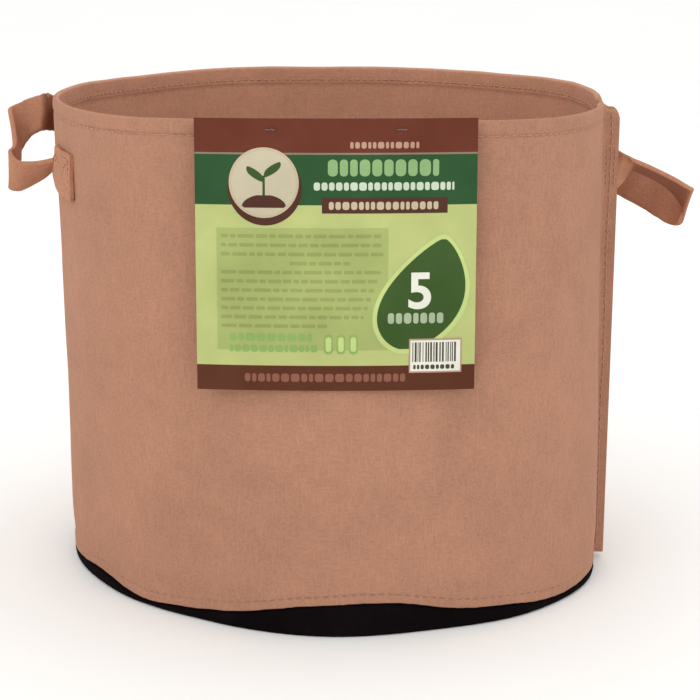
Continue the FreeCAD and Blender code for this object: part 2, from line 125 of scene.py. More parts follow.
def smoothstep(low, high, value):
    frac = np.clip((np.asarray(value, float) - low) / (high - low), 0, 1)
    return frac * frac * (3 - 2 * frac)


def bell(value, centre, width):
    """Rounded hump, 1 high at the centre."""
    return math.exp(-(((value - centre) / width) ** 2))


def fnoise(x, y, z):
    return noise.noise(Vector((x, y, z)))


def periodic(table):
    """Smooth closed curve through (degrees, value) pairs, as a function of the direction."""
    angles, values = np.array(sorted(table), float).T
    knots = np.concatenate([angles - 360, angles, angles + 360])
    levels = np.tile(values, 3)
    slopes = np.gradient(levels, knots)
    fine = np.arange(-180, 541, 1.0)
    left = np.clip(np.searchsorted(knots, fine, side="right") - 1, 0, len(knots) - 2)
    span = knots[left + 1] - knots[left]
    frac = (fine - knots[left]) / span
    curve = (
        (2 * frac**3 - 3 * frac**2 + 1) * levels[left]
        + (frac**3 - 2 * frac**2 + frac) * span * slopes[left]
        + (-2 * frac**3 + 3 * frac**2) * levels[left + 1]
        + (frac**3 - frac**2) * span * slopes[left + 1]
    )
    kernel = np.hanning(9)
    curve = np.convolve(curve, kernel / kernel.sum(), mode="same")
    return lambda deg: np.interp(np.mod(deg, 360.0), fine, curve)


# ---------------------------------------------------------------- shape of the bag

FELT = 2.5  # thickness of the wall felt
MEAN_RADIUS = 151.0  # turns a length along the wall into degrees
_, wall_hi = box_mm("wall_panel")
seam_lo, seam_hi = box_mm("side_seam_stitching")
SEAM_Y = (seam_lo.y + seam_hi.y) / 2  # plane between the two plies of the side seam

# (direction, outer radius of the felt) at the rim
rim_radius = periodic([
    (0, 150.2), (10, 150.4), (20, 151.8), (37, 154.5), (50, 153.5), (70, 151), (90, 152.5),
    (110, 153.5), (127, 151.5), (145, 149.5), (165, 150), (180, 151.6), (190, 152.4),
    (200, 152), (213, 153.2), (224, 155), (233, 153), (241, 146.5), (250, 141.2),
    (260, 138.6), (270, 137.8), (280, 138.8), (290, 142.2), (299, 148.6), (307, 156),
    (315, 159.5), (325, 158.5), (335, 155.5), (345, 152.2), (352, 150.4),
])
# (direction, outer radius of the felt) at the foot
foot_radius = periodic([
    (0, 150.6), (20, 151.5), (40, 152), (90, 151.5), (130, 151), (160, 150.5), (180, 150),
    (200, 147.8), (215, 146.0), (230, 144.8), (242, 144.8), (252, 147.2), (262, 150),
    (270, 151.2), (280, 151.2), (290, 152.6), (300, 156.4), (307, 159.6), (314, 161.6),
    (322, 162.8), (330, 163), (337, 161.6), (344, 158.2), (351, 152.8),
])
# (direction, height of the wall's lower edge)
wall_bottom = periodic([
    (0, 5.5), (20, 7), (40, 5), (60, 7.5), (80, 6), (100, 8), (120, 6), (140, 7), (160, 5),
    (180, 5.2), (193, 5.6), (200, 6.8), (206, 8.2), (211, 8.7), (216, 7.6), (222, 5),
    (228, 4), (235, 5), (242, 6.6), (249, 8.8), (253, 10.2), (258, 13), (264, 16),
    (270, 17.6), (276, 18.4), (282, 17.6), (287, 15.6), (291, 13.2), (296, 10.8),
    (303, 9.2), (309, 8), (315, 5.6), (322, 4.6), (330, 5.4), (340, 6.2), (348, 5.6),
])
# (direction, height of the rim above the CAD wall's top)
RIM_RISE = [
    (0, 0.2), (20, 0.6), (45, -0.1), (70, 0.5), (90, 0.2), (115, 0.6), (140, -0.2),
    (165, 0.4), (180, 0.2), (200, 0), (215, -0.6), (235, -0.3), (255, -0.4), (270, -0.2),
    (290, -0.4), (305, -1), (320, -1.8), (335, -2.4), (345, -2.6), (349, -2.4), (352, -0.4),
]
wall_top = periodic([(deg, wall_hi.z + rise) for deg, rise in RIM_RISE])

# waves of the wall: (turns around the bag, amplitude, phase, change with height)
WAVES = [(3, 0.9, 0.6, 0.4), (5, 0.5, 2.1, 1.3), (8, 0.35, 4.0, 2.2), (13, 0.22, 1.2, 3.5)]
WAVE_SPAN = 264.0  # height the waves are fitted to
FOOT_Z, BLEND_HEIGHT = 22.0, 230.0  # the foot outline turns into the rim outline over this
SEWN_Z, SEWN_SPREAD, SEWN_DEPTH = 13.0, 9.0, 0.9  # draw-in where the base is sewn on


def wall_radius(deg, z):
    """Radius of the wall's outer face."""
    deg = np.asarray(deg, float)
    z = np.asarray(z, float)
    frac = np.clip((z - FOOT_Z) / BLEND_HEIGHT, 0, 1)
    rim_share = 0.75 * frac + 0.25 * smoothstep(0, 1, frac)
    radius = foot_radius(deg) * (1 - rim_share) + rim_radius(deg) * rim_share
    angle = np.radians(deg)
    for turns, amplitude, phase, rate in WAVES:
        around = np.sin(turns * angle + phase + z * 0.011 * rate)
        upward = np.sin(z / WAVE_SPAN * math.pi * (0.6 + 0.35 * rate) + phase)
        radius = radius + amplitude * around * upward
    return radius - SEWN_DEPTH * np.exp(-(((z - SEWN_Z) / SEWN_SPREAD) ** 2))


def wall_point(deg, z, out=0.0):
    """Point this far outside the wall's outer face."""
    radius = float(wall_radius(deg, z)) + out
    angle = math.radians(deg)
    return np.array([radius * math.cos(angle), radius * math.sin(angle), z])


def outward(deg):
    angle = math.radians(deg)
    return np.array([math.cos(angle), math.sin(angle), 0.0])


def deg_at_y(y, z, side):
    """Direction of the wall point with this Y on the left (-1) or right (+1) side."""
    low, high = -75.0, 75.0
    for _ in range(40):
        middle = (low + high) / 2
        if wall_point(middle if side > 0 else 180 - middle, z)[1] < y:
            low = middle
        else:
            high = middle
    middle = (low + high) / 2
    return middle % 360 if side > 0 else (180 - middle) % 360


# ---------------------------------------------------------------- materials


class Shader:
    """A material around one Principled BSDF, with short calls for the nodes used here."""

    def __init__(self, name):
        self.material = bpy.data.materials.new(name)
        self.material.use_nodes = True
        self.tree = self.material.node_tree
        self.tree.nodes.clear()
        output = self.node("ShaderNodeOutputMaterial")
        self.bsdf = self.node("ShaderNodeBsdfPrincipled")
        self.feed(output.inputs[0], self.bsdf.outputs[0])
        self.position = self.node("ShaderNodeTexCoord").outputs["Object"]
        self.last_bump = None

    def node(self, kind, **settings):
        node = self.tree.nodes.new(kind)
        for key, value in settings.items():
            setattr(node, key, value)
        return node

    def feed(self, socket, value):
        """Link a node output, or set a number or an RGB colour."""
        if isinstance(value, bpy.types.NodeSocket):
            self.tree.links.new(value, socket)
        elif isinstance(value, tuple):
            socket.default_value = (*value, 1)
        else:
            socket.default_value = value

    def surface(self, **values):
        """Feed the BSDF; Base_Color stands for its input Base Color."""
        for key, value in values.items():
            self.feed(self.bsdf.inputs[key.replace("_", " ")], value)

    def noise(self, scale, detail, rough, vector=None, distortion=0.0):
        node = self.node("ShaderNodeTexNoise")
        node.inputs["Scale"].default_value = scale
        node.inputs["Detail"].default_value = detail
        node.inputs["Roughness"].default_value = rough
        node.inputs["Distortion"].default_value = distortion
        self.feed(node.inputs["Vector"], vector if vector is not None else self.position)
        return node.outputs["Fac"]

    def stretch(self, scale, rotation):
        node = self.node("ShaderNodeMapping")
        node.inputs["Scale"].default_value = scale
        node.inputs["Rotation"].default_value = rotation
        self.feed(node.inputs["Vector"], self.position)
        return node.outputs[0]

    def math(self, operation, first, second):
        node = self.node("ShaderNodeMath", operation=operation)
        self.feed(node.inputs[0], first)
        self.feed(node.inputs[1], second)
        return node.outputs[0]

    def ramp(self, factor, stops):
        """Colour ramp through (position, RGB) stops."""
        node = self.node("ShaderNodeValToRGB")
        while len(node.color_ramp.elements) < len(stops):
            node.color_ramp.elements.new(0.5)
        for element, (position, colour) in zip(node.color_ramp.elements, stops):
            element.position = position
            element.color = (*colour, 1)
        self.feed(node.inputs[0], factor)
        return node.outputs[0]

    def mix(self, factor, first, second, blend="MIX"):
        node = self.node("ShaderNodeMix", data_type="RGBA", blend_type=blend)
        for index, value in ((0, factor), (6, first), (7, second)):
            self.feed(node.inputs[index], value)
        return node.outputs[2]

    def tint(self, amount, colour, by):
        """Multiply a colour by another, to a given amount."""
        return self.mix(amount, colour, self.mix(1.0, colour, by, "MULTIPLY"))

    def bump(self, height, strength, distance):
        """Add a layer of bump on top of the earlier ones."""
        node = self.node("ShaderNodeBump")
        node.inputs["Strength"].default_value = strength
        node.inputs["Distance"].default_value = distance
        self.feed(node.inputs["Height"], height)
        if self.last_bump is not None:
            self.feed(node.inputs["Normal"], self.last_bump)
        self.last_bump = node.outputs[0]
        self.surface(Normal=self.last_bump)


def grey(level):
    return (level,) * 3


def scaled(colour, factor):
    return tuple(channel * factor for channel in colour)


def srgb(red, green, blue, gain=1.0):
    """Linear colour from 0-255 sRGB values."""
    linear = []
    for channel in (red / 255.0, green / 255.0, blue / 255.0):
        if channel <= 0.04045:
            linear.append(channel / 12.92 * gain)
        else:
            linear.append(((channel + 0.055) / 1.055) ** 2.4 * gain)
    return tuple(linear)


# stretch scale and rotation of the three crossing sets of felt fibres
FIBRE_SETS = (
    ((1, 1, 0.16), (0.5, 0.3, 0.2)),
    ((0.18, 1, 1), (0.2, 0.9, 0.5)),
    ((1, 0.2, 1), (1.1, 0.2, 0.9)),
)


def felt(name, base, dark, light, relief, sheen, specular=0.18, shaded=None):
    """Matted fibres, soft blotches, fine pits and a faint sheen.

    relief scales the bump; shaded is a mesh attribute and the colour it multiplies in, which paints
    light or shade onto the felt.
    """
    shader = Shader(name)
    blotch = shader.noise(scale=14, detail=5, rough=0.55, distortion=0.6)
    cloud = shader.noise(scale=55, detail=5, rough=0.6)
    blotch_colour = shader.ramp(blotch, [(0.30, dark), (0.5, base), (0.72, light)])
    cloud_colour = shader.ramp(cloud, [(0.30, dark), (0.52, base), (0.75, light)])
    colour = shader.mix(0.45, blotch_colour, cloud_colour)

    fibres = []
    for scale, rotation in FIBRE_SETS:
        vector = shader.stretch(scale, rotation)
        fibres.append(shader.noise(scale=900, detail=2, rough=0.5, vector=vector))
    fibre = shader.math("MAXIMUM", shader.math("MAXIMUM", fibres[0], fibres[1]), fibres[2])
    fibre_shade = [(0.48, grey(0.55)), (0.62, grey(1.0)), (0.80, (1.28, 1.24, 1.2))]
    colour = shader.tint(0.27, colour, shader.ramp(fibre, fibre_shade))

    pits = shader.node("ShaderNodeTexVoronoi", feature="F1")
    pits.inputs["Scale"].default_value = 420
    shader.feed(pits.inputs["Vector"], shader.position)
    pit = pits.outputs["Distance"]
    pit_shade = [(0.0, (0.62, 0.6, 0.58)), (0.32, grey(1)), (1.0, grey(1))]
    colour = shader.tint(0.20, colour, shader.ramp(pit, pit_shade))

    # painted light or shade: the attribute mask multiplies this colour in
    if shaded:
        attribute_name, shade = shaded
        attribute = shader.node("ShaderNodeAttribute", attribute_name=attribute_name)
        colour = shader.tint(attribute.outputs["Fac"], colour, shade)
    shader.surface(
        Base_Color=colour,
        Roughness=shader.ramp(cloud, [(0.2, grey(0.84)), (0.8, grey(0.98))]),
        Specular_IOR_Level=specular,
        Sheen_Weight=sheen,
        Sheen_Roughness=0.6,
        Sheen_Tint=light,
    )
    shader.bump(cloud, strength=0.35 * relief, distance=0.0012)
    shader.bump(fibre, strength=0.75 * relief, distance=0.0006)
    shader.bump(pit, strength=0.35 * relief, distance=0.0005)
    return shader.material


def thread(name, base, light):
    """Twisted sewing thread with fine diagonal plies."""
    shader = Shader(name)
    wave = shader.node("ShaderNodeTexWave", wave_type="BANDS", bands_direction="DIAGONAL")
    wave.inputs["Scale"].default_value = 520
    wave.inputs["Distortion"].default_value = 1.5
    shader.feed(wave.inputs["Vector"], shader.position)
    plies = wave.outputs["Fac"]
    fuzz = shader.noise(scale=1400, detail=3, rough=0.6)
    colour = shader.ramp(plies, [(0.2, base), (0.8, light)])
    fuzz_shade = shader.ramp(fuzz, [(0.3, grey(0.7)), (0.7, grey(1.2))])
    colour = shader.tint(0.3, colour, fuzz_shade)
    shader.surface(Base_Color=colour, Roughness=0.62, Sheen_Weight=0.25)
    shader.bump(plies, strength=0.5, distance=0.0002)
    return shader.material


def ink(name, base, roughness):
    """Printed card: faint grain, slightly uneven ink and a few scuffs."""
    shader = Shader(name)
    grain = shader.noise(scale=2600, detail=3, rough=0.6)
    density = shader.noise(scale=38, detail=4, rough=0.5)
    thin = scaled(base, 0.92)
    dense = tuple(channel * 1.08 + 0.006 for channel in base)
    colour = shader.ramp(density, [(0.3, thin), (0.7, dense)])
    grain_shade = shader.ramp(grain, [(0.3, grey(0.72)), (0.7, grey(1.2))])
    colour = shader.tint(0.10, colour, grain_shade)
    streaks = shader.stretch((1, 1, 0.25), (0, 0.5, 0))
    scuff = shader.noise(scale=160, detail=6, rough=0.75, vector=streaks)
    wear = shader.ramp(scuff, [(0.66, grey(0)), (0.76, grey(1))])
    colour = shader.mix(shader.math("MULTIPLY", wear, 0.05), colour, (0.80, 0.78, 0.70))
    rough_stops = [(0.2, grey(roughness - 0.06)), (0.8, grey(roughness + 0.12))]
    shader.surface(
        Base_Color=colour,
        Roughness=shader.ramp(grain, rough_stops),
        Specular_IOR_Level=0.16,
    )
    shader.bump(grain, strength=0.12, distance=0.0001)
    return shader.material


def clear_plastic():
    shader = Shader("clear_nylon")
    haze = shader.noise(scale=300, detail=3, rough=0.5)
    shader.surface(
        Base_Color=shader.ramp(haze, [(0.3, (0.46, 0.34, 0.30)), (0.7, (0.58, 0.46, 0.42))]),
        Roughness=shader.ramp(haze, [(0.2, grey(0.18)), (0.8, grey(0.32))]),
        Transmission_Weight=0.85,
        IOR=1.5,
    )
    shader.bump(haze, strength=0.1, distance=0.0002)
    return shader.material


def floor_material(colour):
    shader = Shader("floor_pale")
    patches = shader.noise(scale=3, detail=2, rough=0.5)
    shader.surface(
        Base_Color=shader.ramp(patches, [(0.3, colour), (0.7, scaled(colour, 1.01))]),
        Roughness=0.9,
        Specular_IOR_Level=0.1,
    )
    return shader.material


TAN = srgb(193, 141, 115, gain=0.78)
STRAP_TAN = srgb(186, 131, 103, gain=0.92)
BLACK = (0.0046, 0.0026, 0.0032)

# painted light: the inside face of the wall is made lighter in colour, multiplied by 1.3, in place
# of the light it lacks
tan_felt = felt(
    "felt_tan", TAN, dark=scaled(TAN, 0.88), light=scaled(TAN, 1.11),
    relief=0.5, sheen=0.14, shaded=("inside_painted_light", grey(1.3)),
)
# painted shade: the straps' folds and undersides are darker and redder where shade falls
strap_felt = felt(
    "felt_strap", STRAP_TAN, dark=scaled(STRAP_TAN, 0.86), light=scaled(STRAP_TAN, 1.11),
    relief=0.6, sheen=0.18, shaded=("strap_shade", (0.44, 0.33, 0.29)),
)
black_felt = felt(
    "felt_black", BLACK, dark=scaled(BLACK, 0.6), light=(0.0095, 0.0068, 0.0074),
    relief=0.7, sheen=0.0, specular=0.04,
)
tan_thread = thread("thread_tan", base=srgb(170, 122, 97), light=srgb(194, 146, 119))
dark_thread = thread("thread_dark", base=srgb(132, 92, 74), light=srgb(158, 114, 92))

# ---------------------------------------------------------------- wall panel

HEM_DEPTH = 8.0  # hem stitching below the rim
SEAM_CLEARANCE = 0.004  # half the space between the two seam plies
FLAP_TIP_X = 158.6
FILLET_REACH = 3.2  # from the corner of wall and flap to each end of the rounding
WALL_STEPS, FILLET_STEPS, FLAP_STEPS = 384, 6, 6
SIDE_STEPS = FLAP_STEPS + FILLET_STEPS
STATIONS = WALL_STEPS + 2 * SIDE_STEPS
FRONT_START = STATIONS - SIDE_STEPS  # first station of the front flap's rounding


def seam_flap(y, z, turn):
    """Plan points from a flap's tip to the wall, and the direction where it joins.

    turn is the sense in which the wall leaves the flap, +1 being counter-clockwise.
    """
    corner_deg = deg_at_y(y, z, 1)
    corner_x = wall_point(corner_deg, z)[0]
    join_deg = (corner_deg + turn * math.degrees(FILLET_REACH / MEAN_RADIUS)) % 360
    corner = np.array([corner_x, y])
    flat_end = np.array([corner_x + FILLET_REACH, y])
    join = wall_point(join_deg, z)[:2]
    points = []
    for frac in np.linspace(0, 1, FLAP_STEPS, endpoint=False):
        points.append(np.array([FLAP_TIP_X + (flat_end[0] - FLAP_TIP_X) * frac, y]))
    for frac in np.linspace(0, 1, FILLET_STEPS, endpoint=False):
        rest = 1 - frac
        points.append(rest**2 * flat_end + 2 * frac * rest * corner + frac**2 * join)
    return points, join_deg


def wall_path(z):
    """Plan path of the outer face, from the rear flap's tip round to the front flap's."""
    offset = SEAM_CLEARANCE + FELT
    rear, rear_deg = seam_flap(SEAM_Y + offset, z, 1)
    front, front_deg = seam_flap(SEAM_Y - offset, z, -1)
    degs = np.linspace(rear_deg - 360, front_deg, WALL_STEPS)
    return np.array(rear + [wall_point(deg, z)[:2] for deg in degs] + front[::-1])


def wall_share():
    """How far each station belongs to the wall (1) or to a flap (near 0)."""
    index = np.arange(STATIONS)
    share = np.ones(STATIONS)
    rear_ease = smoothstep(FLAP_STEPS - 1, SIDE_STEPS + 1, index[:SIDE_STEPS])
    front_ease = smoothstep(FRONT_START - 1, STATIONS - FLAP_STEPS, index[FRONT_START:])
    share[:SIDE_STEPS] = rear_ease * 0.98
    share[FRONT_START:] = 1 - front_ease
    return np.clip(share, 0.012, 1)


def wall_edges(share):
    """Heights of the upper and lower edge at each station."""
    middle = wall_path(130.0)
    degs = np.degrees(np.arctan2(middle[:, 1], middle[:, 0])) % 360
    top = wall_top(degs)
    low = wall_bottom(degs)
    rear, front = slice(0, SIDE_STEPS), slice(FRONT_START, None)
    # each flap: direction its rim height is taken from, and height of its tip
    for flap, rim_deg, tip_z in ((rear, 352.5, 258.7), (front, 347.0, 257.6)):
        top[flap] = wall_top(rim_deg) * share[flap] + tip_z * (1 - share[flap])
        low[flap] = 3.0
    # rounded upper corners at the flap tips
    for k in range(FLAP_STEPS):
        drop = 4.2 * max(0.0, (FLAP_STEPS - k) / FLAP_STEPS - 0.35) ** 2 / 0.42
        top[k] -= drop
        top[STATIONS - 1 - k] -= drop
    # ragged cut edges
    for i in range(STATIONS):
        low[i] += 0.35 * fnoise(i * 0.21, 3.3, 0) + 0.2 * fnoise(i * 0.9, 1.3, 5)
        if SIDE_STEPS <= i < FRONT_START:
            top[i] += 0.25 * fnoise(i * 0.11, 7.7, 0)
    return top, low


def wall_section(share, top, low):
    """Closed section of the ply as (depth from the outer face, height) points."""
    hem = FELT * (1 + 0.26 * share)  # thickness at the thicker rim
    half = hem / 2
    points = [(0.62, low), (0.25, low + 0.22), (0.05, low + 0.65), (0.0, low + 1.4)]
    points += [(0.0, z) for z in np.linspace(low + 3.0, top - 13.0, 40)]
    for down in np.linspace(12.2, 2.7, 17):
        groove = 0.75 * bell(down, HEM_DEPTH, 0.85)
        swell = 0.35 * bell(down, 4.2, 2.6)
        points.append(((groove - swell) * share, top - down))
    for angle in np.linspace(0, math.pi, 10):
        depth = half - (half + 0.12 * share) * math.cos(angle)
        points.append((depth, top - half + half * math.sin(angle)))
    for down in (4.2, 5.6, 7.0, 7.7, 8.3, 9.0, 9.5):
        groove = 0.2 * bell(down, HEM_DEPTH, 0.7) * share
        points.append((hem - groove, top - down))
    points += [
        (hem - 0.06 * share, top - 9.9), (hem - 0.24 * share, top - 10.4),
        (FELT + 0.2 * share, top - 11.0), (FELT, top - 11.8),
    ]
    points += [(FELT, z) for z in np.linspace(top - 13.0, low + 3.0, 30)]
    points += [
        (FELT, low + 1.4), (FELT - 0.05, low + 0.65),
        (FELT - 0.25, low + 0.22), (FELT - 0.62, low),
    ]
    return points


def wall_panel():
    share = wall_share()
    top, low = wall_edges(share)
    sections = np.array([wall_section(*values) for values in zip(share, top, low)])
    depths, heights = sections[:, :, 0], sections[:, :, 1]
    ring = depths.shape[1]

    # plan paths at a coarse set of heights, interpolated between
    levels = np.concatenate(
        [np.linspace(0, 30, 9), np.linspace(38, 246, 24), np.linspace(250, 267, 7)]
    )
    paths = np.array([wall_path(z) for z in levels])
    tangents = unit(np.gradient(paths, axis=1))
    inward = np.stack([-tangents[:, :, 1], tangents[:, :, 0]], axis=2)
    verts = np.zeros((STATIONS, ring, 3))
    for i in range(STATIONS):
        plan, into = (
            np.stack([np.interp(heights[i], levels, field[:, i, c]) for c in (0, 1)], axis=1)
            for field in (paths, inward)
        )
        verts[i, :, :2] = plan + unit(into) * depths[i][:, None]
        verts[i, :, 2] = heights[i]
    # slight unevenness of the felt, not on the flaps
    for vert in verts[SIDE_STEPS:FRONT_START].reshape(-1, 3):
        coarse, fine = vert * 0.045, vert * 0.16
        vert[:2] += unit(vert[:2]) * (0.16 * fnoise(*coarse) + 0.07 * fnoise(*fine))

    faces = [(a, d, c, b) for a, b, c, d in tube_faces(STATIONS, ring)]
    # strips across the ply close both flap tips
    for start, flip in ((0, False), ((STATIONS - 1) * ring, True)):
        for k in range(ring // 2 - 1):
            across = start + ring - 1 - k
            quad = (start + k, start + k + 1, across - 1, across)
            faces.append(quad[::-1] if flip else quad)
    panel = make_mesh("wall_panel_felt", verts.reshape(-1, 3), faces, [tan_felt], sharp=50)

    # mask of the painted light on the inside face, from the crest of the rim down
    inside_painted_light = np.zeros((STATIONS, ring))
    first_inner = np.argmax(depths[SIDE_STEPS + 5] > FELT * 0.9)
    inside_painted_light[SIDE_STEPS:FRONT_START, first_inner:-2] = 1.0
    add_attribute(panel, "inside_painted_light", inside_painted_light)
    return panel


ride_bag(wall_panel(), "wall_panel")

# ---------------------------------------------------------------- base panel

BASE_STEPS = 300
FLOOR_Z = 2.6  # thickness of the floor
LIP_INSET = 5.3  # inner face of the base's upstand, inside the wall's outer face
LIP_Z = 27.5
FLOOR_FILLET = 3.0


def base_section(deg):
    """(radius, height) points from near the centre of the floor over the lip to the underside."""
    hem_z = float(wall_bottom(deg))
    direction = outward(deg)

    def wall_at(z):
        return float(wall_radius(deg, z))

    def outer_radius(z):
        # the base lies inside the wall, and nearly flush with it below the wall's edge
        tucked = float(smoothstep(hem_z - 2.2, hem_z + 0.6, z))
        return wall_at(z) - (0.45 + (2.85 - 0.45) * tucked)

    # the lower corner is tighter in front
    front = bell((deg - 275 + 180) % 360 - 180, 0, 38.0)
    corner = 2.6 - 0.6 * front
    lip_z = LIP_Z + 0.7 * fnoise(deg * 0.05, 0, 4)
    floor_radius = wall_at(10.0) - LIP_INSET

    points = []
    for frac in np.linspace(0, 1, 34)[1:-2]:
        radius = floor_radius * frac
        x, y, _ = direction * radius * 0.02
        bump = 0.9 * fnoise(x, y, 1.0) * math.exp(-((radius / 120.0) ** 6))
        points.append((radius, FLOOR_Z + max(-0.6, bump) * 0.7))
    for angle in np.linspace(0.15, math.pi / 2, 6):
        points.append((
            floor_radius - FLOOR_FILLET + FLOOR_FILLET * math.sin(angle),
            FLOOR_Z + FLOOR_FILLET - FLOOR_FILLET * math.cos(angle),
        ))
    points += [(wall_at(z) - 5.35, z) for z in (9, 12.4, 13.0, 13.6, 17, 21, 24.5)]
    lip_shape = ((LIP_INSET, 0.9), (4.8, 0.1), (3.4, 0), (2.9, 0.7))  # inset, drop
    points += [(wall_at(lip_z) - inset, lip_z - drop) for inset, drop in lip_shape]
    outer_z = np.concatenate([np.linspace(24, 20, 4), np.linspace(19.4, corner + 0.3, 26)])
    points += [(outer_radius(z), z) for z in outer_z]
    flat = outer_radius(corner) - corner
    for angle in np.linspace(0.1, math.pi / 2, 9):
        points.append((flat + corner * math.cos(angle), corner - corner * math.sin(angle)))
    points += [(flat * frac, 0.0) for frac in (0.93, 0.8, 0.6, 0.4, 0.2)]
    return points


def base_panel():
    verts = []
    for deg in np.linspace(0, 360, BASE_STEPS, endpoint=False):
        section = base_section(deg)
        for radius, z in section:
            x, y, _ = outward(deg) * radius
            if radius > 120 and z > 2.8:
                uneven = 0.18 * fnoise(x * 0.09, y * 0.09, z * 0.09 + 3)
                x += x / radius * uneven
                y += y / radius * uneven
            verts.append((x, y, z))
    ring = len(section)
    floor_centre = len(verts)
    under_centre = floor_centre + 1
    verts += [(0, 0, FLOOR_Z), (0, 0, 0)]
    starts = [(i * ring, (i + 1) % BASE_STEPS * ring) for i in range(BASE_STEPS)]
    faces = []
    for here, after in starts:
        for k in range(ring - 1):
            faces.append((here + k + 1, after + k + 1, after + k, here + k))
    for here, after in starts:
        faces.append((here, after, floor_centre))
        faces.append((after + ring - 1, here + ring - 1, under_centre))
    return make_mesh("base_panel_felt", verts, faces, [black_felt], sharp=60)


ride_bag(base_panel(), "base_panel")

# ---------------------------------------------------------------- stitching

HEM_STITCH = dict(length=3.4, gap=1.1, radius=0.36)
BASE_STITCH = dict(length=3.6, gap=1.2, radius=0.32)
TAB_STITCH = dict(length=2.5, gap=0.75, radius=0.34)
STITCH_SINK = 0.42  # how deep the ends of a stitch dive
STITCH_JITTER = 0.12
STITCH_SIDES, STITCH_SEGMENTS = 6, 6
SEAM_STITCH_X = 154.4
THREAD_LIFT = 0.1  # side seam thread above the felt


def stitches(name, rows, material, length, gap, radius):
    """Rows of short cords that dive into the felt at both ends.

    Each row is a list of points and a list of the felt's normals there.
    """
    verts, faces = [], []
    frac = np.linspace(-1, 1, STITCH_SEGMENTS + 1)
    lift = radius * 0.35 - STITCH_SINK * frac**4
    thickness = radius * np.sqrt(np.clip(1 - 0.75 * frac**6, 0.05, 1))
    for points, normals in rows:
        points, normals = np.asarray(points, float), np.asarray(normals, float)
        steps = np.linalg.norm(np.diff(points, axis=0), axis=1)
        travel = np.concatenate([[0], np.cumsum(steps)])
        count = max(1, int(round(travel[-1] / (length + gap))))
        pitch = travel[-1] / count
        cord = pitch * length / (length + gap)
        for i in range(count):
            shift = float(thread_rng.normal(0, STITCH_JITTER * 0.5))
            skew = float(thread_rng.normal(0, STITCH_JITTER))
            start = i * pitch + (pitch - cord) / 2 + shift
            along = np.linspace(start, start + cord, STITCH_SEGMENTS + 1)
            centre, normal = (
                np.stack([np.interp(along, travel, field[:, c]) for c in range(3)], 1)
                for field in (points, normals)
            )
            normal = unit(normal)
            side = unit(np.cross(unit(np.gradient(centre, axis=0)), normal))
            centre = centre + normal * lift[:, None]
            centre = centre + side * (skew * (frac * 0.5 + 0.5))[:, None]
            faces += capped_tube_faces(STITCH_SEGMENTS + 1, STITCH_SIDES, base=len(verts))
            for k in range(STITCH_SEGMENTS + 1):
                for j in range(STITCH_SIDES):
                    angle = 2 * math.pi * j / STITCH_SIDES
                    spoke = math.cos(angle) * normal[k] * 0.85 + math.sin(angle) * side[k]
                    verts.append(centre[k] + thickness[k] * spoke)
    return make_mesh(name, verts, faces, [material])


def ring_row(height_at, out, facing):
    """Row round the wall, between the two sides of the seam; facing is +1 outward, -1 inward."""
    degs = np.arange(351.8 - 360, 347.2 + 1e-6, 1.0)
    points = [wall_point(deg % 360, float(height_at(deg % 360)), out) for deg in degs]
    return points, [outward(deg) * facing for deg in degs]


def seam_row(side, x_positions, z_positions):
    """Row up the rear (+1) or front (-1) face of the side seam."""
    y = SEAM_Y + side * (THREAD_LIFT + FELT)
    points = [np.array([x, y, z]) for x, z in zip(x_positions, z_positions)]
    return points, [np.array([0, side, 0])] * len(points)


def hem_height(deg):
    return wall_top(deg) - HEM_DEPTH


hem_rows = [ring_row(hem_height, -0.55, 1), ring_row(hem_height, -3.4, -1)]
hem_thread = stitches("rim_hem_thread", hem_rows, tan_thread, **HEM_STITCH)
ride_bag(hem_thread, "rim_hem_stitching")

base_rows = [
    ring_row(lambda deg: wall_bottom(deg) + 5.2, 0.02, 1),
    ring_row(lambda deg: SEWN_Z, -5.35, -1),
]
base_thread = stitches("base_seam_thread", base_rows, dark_thread, **BASE_STITCH)
ride_bag(base_thread, "base_seam_stitching")

# runs up the seam: side, bottom, top, points; the rear ones leave room for the strap end
seam_rows = []
for side, bottom, top, count in ((-1, 8.5, 256, 120), (1, 8.5, 210.5, 90), (1, 241.0, 256.0, 90)):
    z_positions = np.linspace(bottom, top, count)
    x_positions = SEAM_STITCH_X + 0.25 * np.sin(z_positions * 0.06)
    seam_rows.append(seam_row(side, x_positions, z_positions))
seam_thread = stitches("side_seam_thread", seam_rows, tan_thread, **HEM_STITCH)
ride_bag(seam_thread, "side_seam_stitching")

# ---------------------------------------------------------------- handle straps

STRAP_WIDTH, STRAP_THICK = 25.0, 2.6
STRAP_GAP = 0.12  # between a strap end and the wall
STRAP_ROUND = 0.9  # rounding of the strap's edges
FLAT_POINTS = 14  # points across each face of the strap
STEPS_PER_STATION = 8
TAB_INSET = 3.2  # from the root of a sewn end to its first station


class Station(NamedTuple):
    """One place along a strap."""

    centre: np.ndarray
    across: np.ndarray  # direction of the strap's width
    scale: float = 1.0  # of the width
    square: float = 1.0  # 1 turns the width square to the strap's run, 0 leaves it


class Tab(NamedTuple):
    """A strap end sewn flat on the wall."""

    side: int  # +1 right, -1 left
    turn: int  # way it runs from its root, +1 counter-clockwise
    root_y: float
    root_z: float
    end_z: float
    length: float = 25.0

    def degrees_at(self, along):
        root_deg = deg_at_y(self.root_y, self.root_z, self.side)
        return (root_deg + self.turn * math.degrees((along + TAB_INSET) / MEAN_RADIUS)) % 360


rear_tab_lo, _ = box_mm("right_handle_rear_tab")
RIGHT_REAR = Tab(side=1, turn=1, root_y=rear_tab_lo.y + 0.3, root_z=226.5, end_z=229.0)
LEFT_REAR = Tab(side=-1, turn=-1, root_y=46.0, root_z=240.5, end_z=233.0)
LEFT_FRONT = Tab(side=-1, turn=1, root_y=-43.5, root_z=228.0, end_z=226.5, length=31.0)

